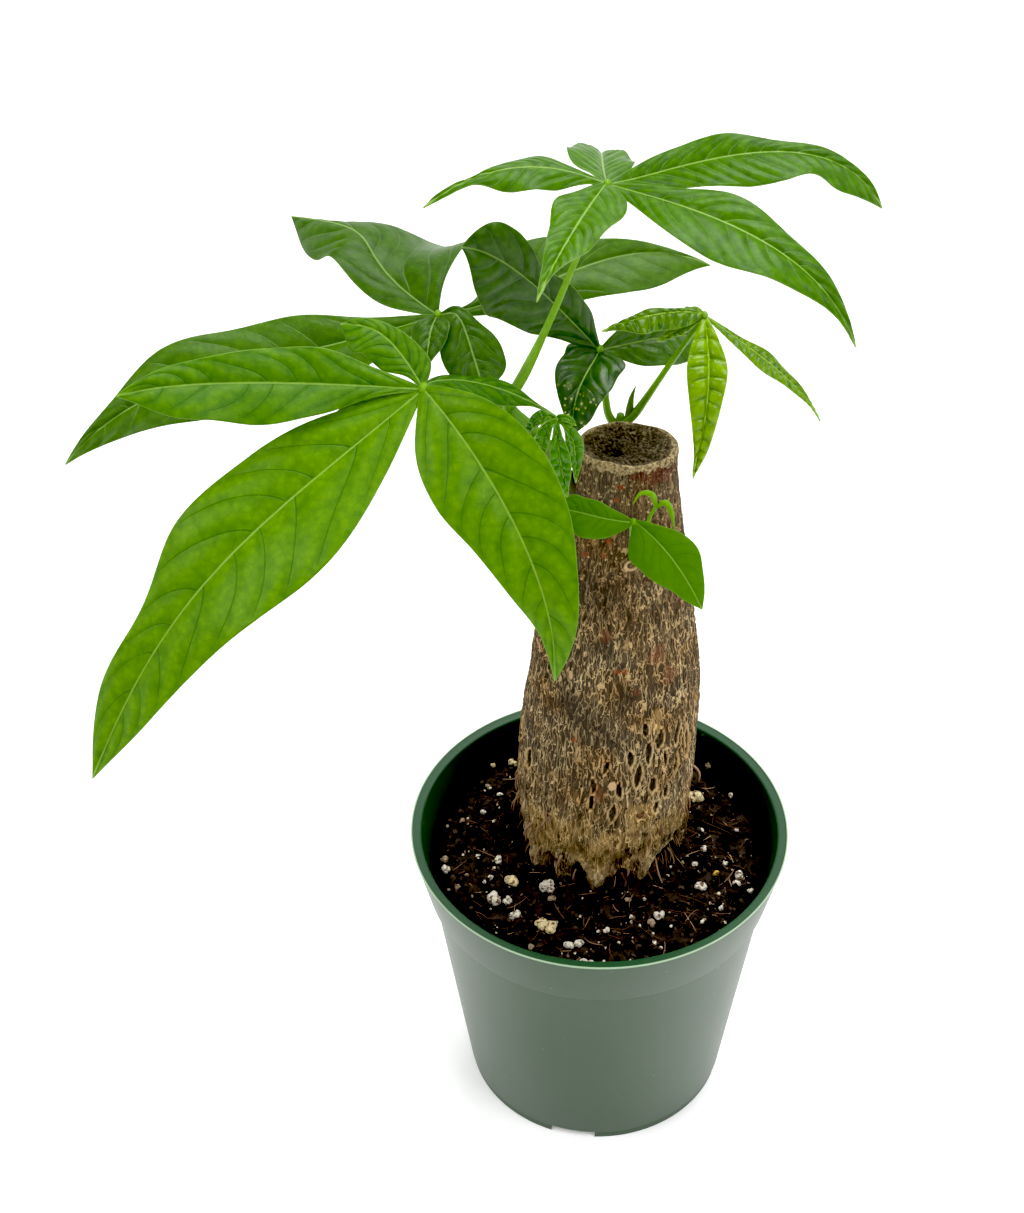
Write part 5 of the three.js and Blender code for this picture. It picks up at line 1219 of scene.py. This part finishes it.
# Leaf C, the topmost, on the longest petiole: pleated between its many side veins.
pleated = leaf_finish("pleated_leaf", "#264C04", "#4E7C02", "#93B45A", "#5C8626", "#8CA86E", 0.36, net=0.1,
                      veining=0.9, specular=0.27)
compound_leaf(
    "leaf_c_blades", "leaf_c", pleated, (-1, 5, 317), 1.4,
    ((-24.8, 10, 244.4), (-26, 10, 248.3), (-21, 9, 260), (-15, 6, 277), (-9, 4, 295)),
    (1.4, 1.5, 1.0, 0.85, 0.8, 1.0), [
        dict(bend=((-21, -1, 12), (-37, -6, 5)), tip=(-45, -10, 0), face=(0.04, -0.27, 0.96),
             left=(2.5, 4.8, 7.2, 8.3, 8, 6.2, 3, 1.8, 1),
             right=(2.5, 5.5, 7.5, 7.8, 6.5, 2.5, 0.8, 2.2, 1.6), fold=(0, -28), veins=8),
        dict(bend=((-1, 22, -6), (0, 28, -4)), tip=(0, 41, -16), face=(0.1, -0.2, 0.97),
             left=(5, 9, 9.5, 7, 3), right=(5, 8, 7.5, 5, 2), fold=(12, 10), veins=10, tone=0.55),
        dict(bend=((15, 4, 0), (54, 4, 20)), tip=(68, -1, -7), face=(0, -0.33, 0.94),
             left=(3.2, 5.6, 6.8, 6.6, 5, 3.8, 2.9, 2.2, 2), right=(3, 6.5, 9, 10.3, 11, 10.3, 6.8, 8, 5),
             fold=(3, 6), veins=14),
        dict(bend=((30, -24, 5), (51, -31, -3)), tip=(59, -35, -25), face=(0.11, -0.38, 0.92),
             left=(4, 8, 8, 5, 3), right=(6, 12, 13, 9, 3), fold=(0, 10), veins=10, tone=0.55, puff=0.3),
        dict(bend=((0, 0, 2), (-14, -34, 1)), tip=(-18, -43, -6), face=(-0.1, -0.46, 0.88),
             left=(8, 9, 7, 5, 1), right=(5, 8, 6, 4, 2), fold=(5, 5), veins=11, tone=0.65),
    ], puff=0.28, groove=0.14, curl=0.9, rib=0.34, tone=0.5)

# Leaf D, behind the cut: the darkest, waxed and glossy, with pale freckles on one leaflet.
dark = leaf_finish("dark_leaf", "#22440A", "#48700E", "#86A84A", "#3C661A", "#7F9C60", 0.3, specular=0.5)
compound_leaf(
    "leaf_d_blades", "leaf_d", dark, (-1, 32, 250), 1.5,
    ((4.2, 28.6, 226), (1.6, 29, 231), (0.6, 30, 238)), (1.3, 1.1, 0.95, 1.0), [
        dict(bend=((-9, -2, 12), (-24, -6, 36)), tip=(-36.7, -8, 38), face=(-0.1, -0.8, 0.6),
             left=(3, 5.3, 8, 10.3, 11.8, 13, 14, 12, 8), right=(3, 5.5, 6.3, 6.8, 5.8, 5.2, 7.5, 9, 8),
             fold=(6, 6), veins=7, tone=0.45),
        dict(bend=((-2, -7, -1), (-8, -17, 1)), tip=(-8, -20, -14), face=(-0.03, -0.59, 0.81),
             left=(9, 9, 9, 7, 5), right=(8, 8, 8, 5, 2), fold=(20, 20), waves=2, veins=5, freckle=1.0,
             tone=0.2),
        dict(bend=((17, 9, -2), (22, 10, -1)), tip=(32, 14, -6), face=(0.02, -0.71, 0.7),
             left=(4, 6, 7, 6, 4), right=(4, 7, 8, 8, 6), fold=(12, 2), waves=2, veins=5, tone=0.7),
    ], slot="dark_leaf", tone=0.4)

# Leaf E, on the right: young, yellow-green and puffed between its veins, with two leaflets begun.
young = leaf_finish("young_leaf", "#365E02", "#7A9E06", "#9ABE3E", "#3F6C06", "#8CAE50", 0.24, net=0.1,
                    rib_width=0.35)
compound_leaf(
    "leaf_e_blades", "leaf_e", young, (27, 30, 262), 1.3,
    ((5.8, 28.3, 228), (8.5, 28, 231), (11, 28, 235), (18, 29, 247)), (1.5, 1.1, 0.85, 0.75, 0.8), [
        dict(bend=((-1, 0, 2), (-14, -3, 5)), tip=(-28, -10, 2), face=(0.02, -0.47, 0.88),
             left=(4, 5, 5, 5, 2), right=(2, 2, 3, 2, 1), fold=(-4, -30), waves=2, veins=9, tone=0.2),
        dict(bend=((2, -30, -8), (-3, -22, -31)), tip=(-3, -22, -38), face=(-0.03, -0.96, 0.29),
             left=(3, 5, 4, 3, 2), right=(4, 6, 5, 3, 1), veins=10, tone=0.75),
        dict(bend=((18, -7, -10), (29, -9, -20)), tip=(32, -10, -28), face=(0.37, -0.33, 0.87),
             left=(1, 2, 3, 2, 1), right=(2, 4, 4, 3, 1), fold=(0, 4), veins=18, tone=0.35, puff=0.16,
             groove=0.12),
        dict(bend=((-4, -2, -1), (-8, -4, -2)), tip=(-13, -6, -4), face=(0, -0.65, 0.75),
             left=(1, 1.5, 2, 1.5, 1), right=(1, 1.5, 2, 1.5, 1), waves=1, wave_height=0.2, veins=6,
             puff=0.12),
        dict(bend=((-2, 1, 1), (-4, 2, 1)), tip=(-6, 3, 0), face=(0, -0.4, 0.9),
             left=(1, 1.5, 1.5, 1, 1), right=(1, 1.5, 1.5, 1, 1), waves=1, wave_height=0.2, veins=5,
             puff=0.1),
    ], slot="young_leaf", tone=0.5, puff=0.5, groove=0.25, slope=0.12, curl=0.2, crown=0.8, rib=0.28,
    grid=0.4, crimp=0.0, wave_height=0.4)

# Leaf F, beside the cut: just unfolded, so its five small leaflets still hang, thin and glossy.
newest = leaf_finish("newest_leaf", "#245802", "#5A9204", "#9ABE3C", "#3A6C06", "#7FA04A", 0.2,
                     mottle=0.6, rib_width=0.22, veining=0.6, specular=0.42)
compound_leaf(
    "leaf_f_blades", "leaf_f", newest, (-13.5, -6, 254), 1.1,
    ((-19, 9.5, 237.5), (-18, 5, 241), (-16, 0, 249)), (1.0, 0.95, 0.75, 0.7), [
        dict(bend=((-2, -1, 3), (-6, 0, 2)), tip=(-8, 0, -5), face=(-0.4, -0.5, 0.75),
             left=(1, 2, 2, 1.5, 1), right=(1, 2, 2, 1.5, 1)),
        dict(bend=((-2, -3, 2), (-5, -4, -3)), tip=(-4, -5, -12), face=(-0.3, -0.9, 0.3),
             left=(1, 1.8, 1.9, 1.5, 1), right=(1, 1.8, 2.0, 1.7, 1)),
        dict(bend=((0, -4, 1), (0, -6, -6)), tip=(3, -5, -22), face=(0, -1, 0.2),
             left=(1.2, 2.4, 2.8, 2.2, 1), right=(1.2, 2.4, 2.8, 2.2, 1)),
        dict(bend=((2, -2, 2), (6, -3, -4)), tip=(5, -3, -18), face=(0.4, -0.8, 0.3),
             left=(1, 2.3, 2.6, 1.9, 1), right=(1, 2.2, 2.4, 1.8, 1)),
        dict(bend=((1, -1, 2), (3, -1, 2)), tip=(5, -1, -1), face=(0.2, -0.6, 0.75),
             left=(1, 1, 1, 1, 0.7), right=(1, 1, 1, 1, 0.7)),
    ], slot="young_leaf", waves=1, wave_height=0.2, veins=7, tone=0.5, puff=0.3, groove=0.2, crown=1.3,
    slope=0.2, curl=0.1, rib=0.2, grid=0.3)

# ---- front sprout ----------------------------------------------------------------------------
# The thin young stem from the knot on the stump's front: two soft leaflets and, above them, one
# leaf that is still curled into two hooks.
CURLED_STALK = ((6.2, -21.5, 228), (9.5, -21, 231), (11, -20, 234), (12.5, -20, 237))
HOOKS = (
    ((12, -20, 236), (11, -20, 240), (8, -20.5, 241), (6, -21.5, 238.5)),
    ((12.2, -20.2, 236.2), (14.5, -20, 237.5), (16, -21, 235), (17, -22, 230)),
)
sprout = leaf_finish("sprout_leaf", "#3E6602", "#528203", "#86AE4C", "#3C7008", "#86A85A", 0.5, mottle=0.5,
                     veining=0.25, rib_width=0.35, specular=0.16)
curled = [stalk(CURLED_STALK, (0.6, 0.5, 0.45, 0.5), tone=1.0)]
curled += [stalk(hook, (0.45, 0.8, 0.75, 0.4, 0.15), tone=0.8) for hook in HOOKS]
compound_leaf(
    "front_sprout_blades", "front_sprout", sprout, (6, -25, 235), 1.1,
    ((8.4, -3, 208.5), (8, -10, 214), (7, -17, 221), (6, -22, 229)), (1.4, 1.3, 0.9, 0.8, 0.8), [
        dict(bend=((-11, -2, 3), (-13, -1, 5)), tip=(-20, 1, 4), face=(-0.03, -0.7, 0.71),
             left=(3, 5, 6, 6, 3), right=(2, 3, 4, 4, 4), fold=(0, 4)),
        dict(bend=((0, 0, 1), (10, -9, -1)), tip=(18, -9, -22), face=(-0.04, -0.63, 0.78),
             left=(3, 6, 7, 5, 3), right=(8, 8.4, 7.4, 5, 3), fold=(7, 4)),
    ], extra=curled, waves=2, wave_height=0.4, veins=6, puff=0.08, groove=0.02, rib=0.3, grid=0.5)
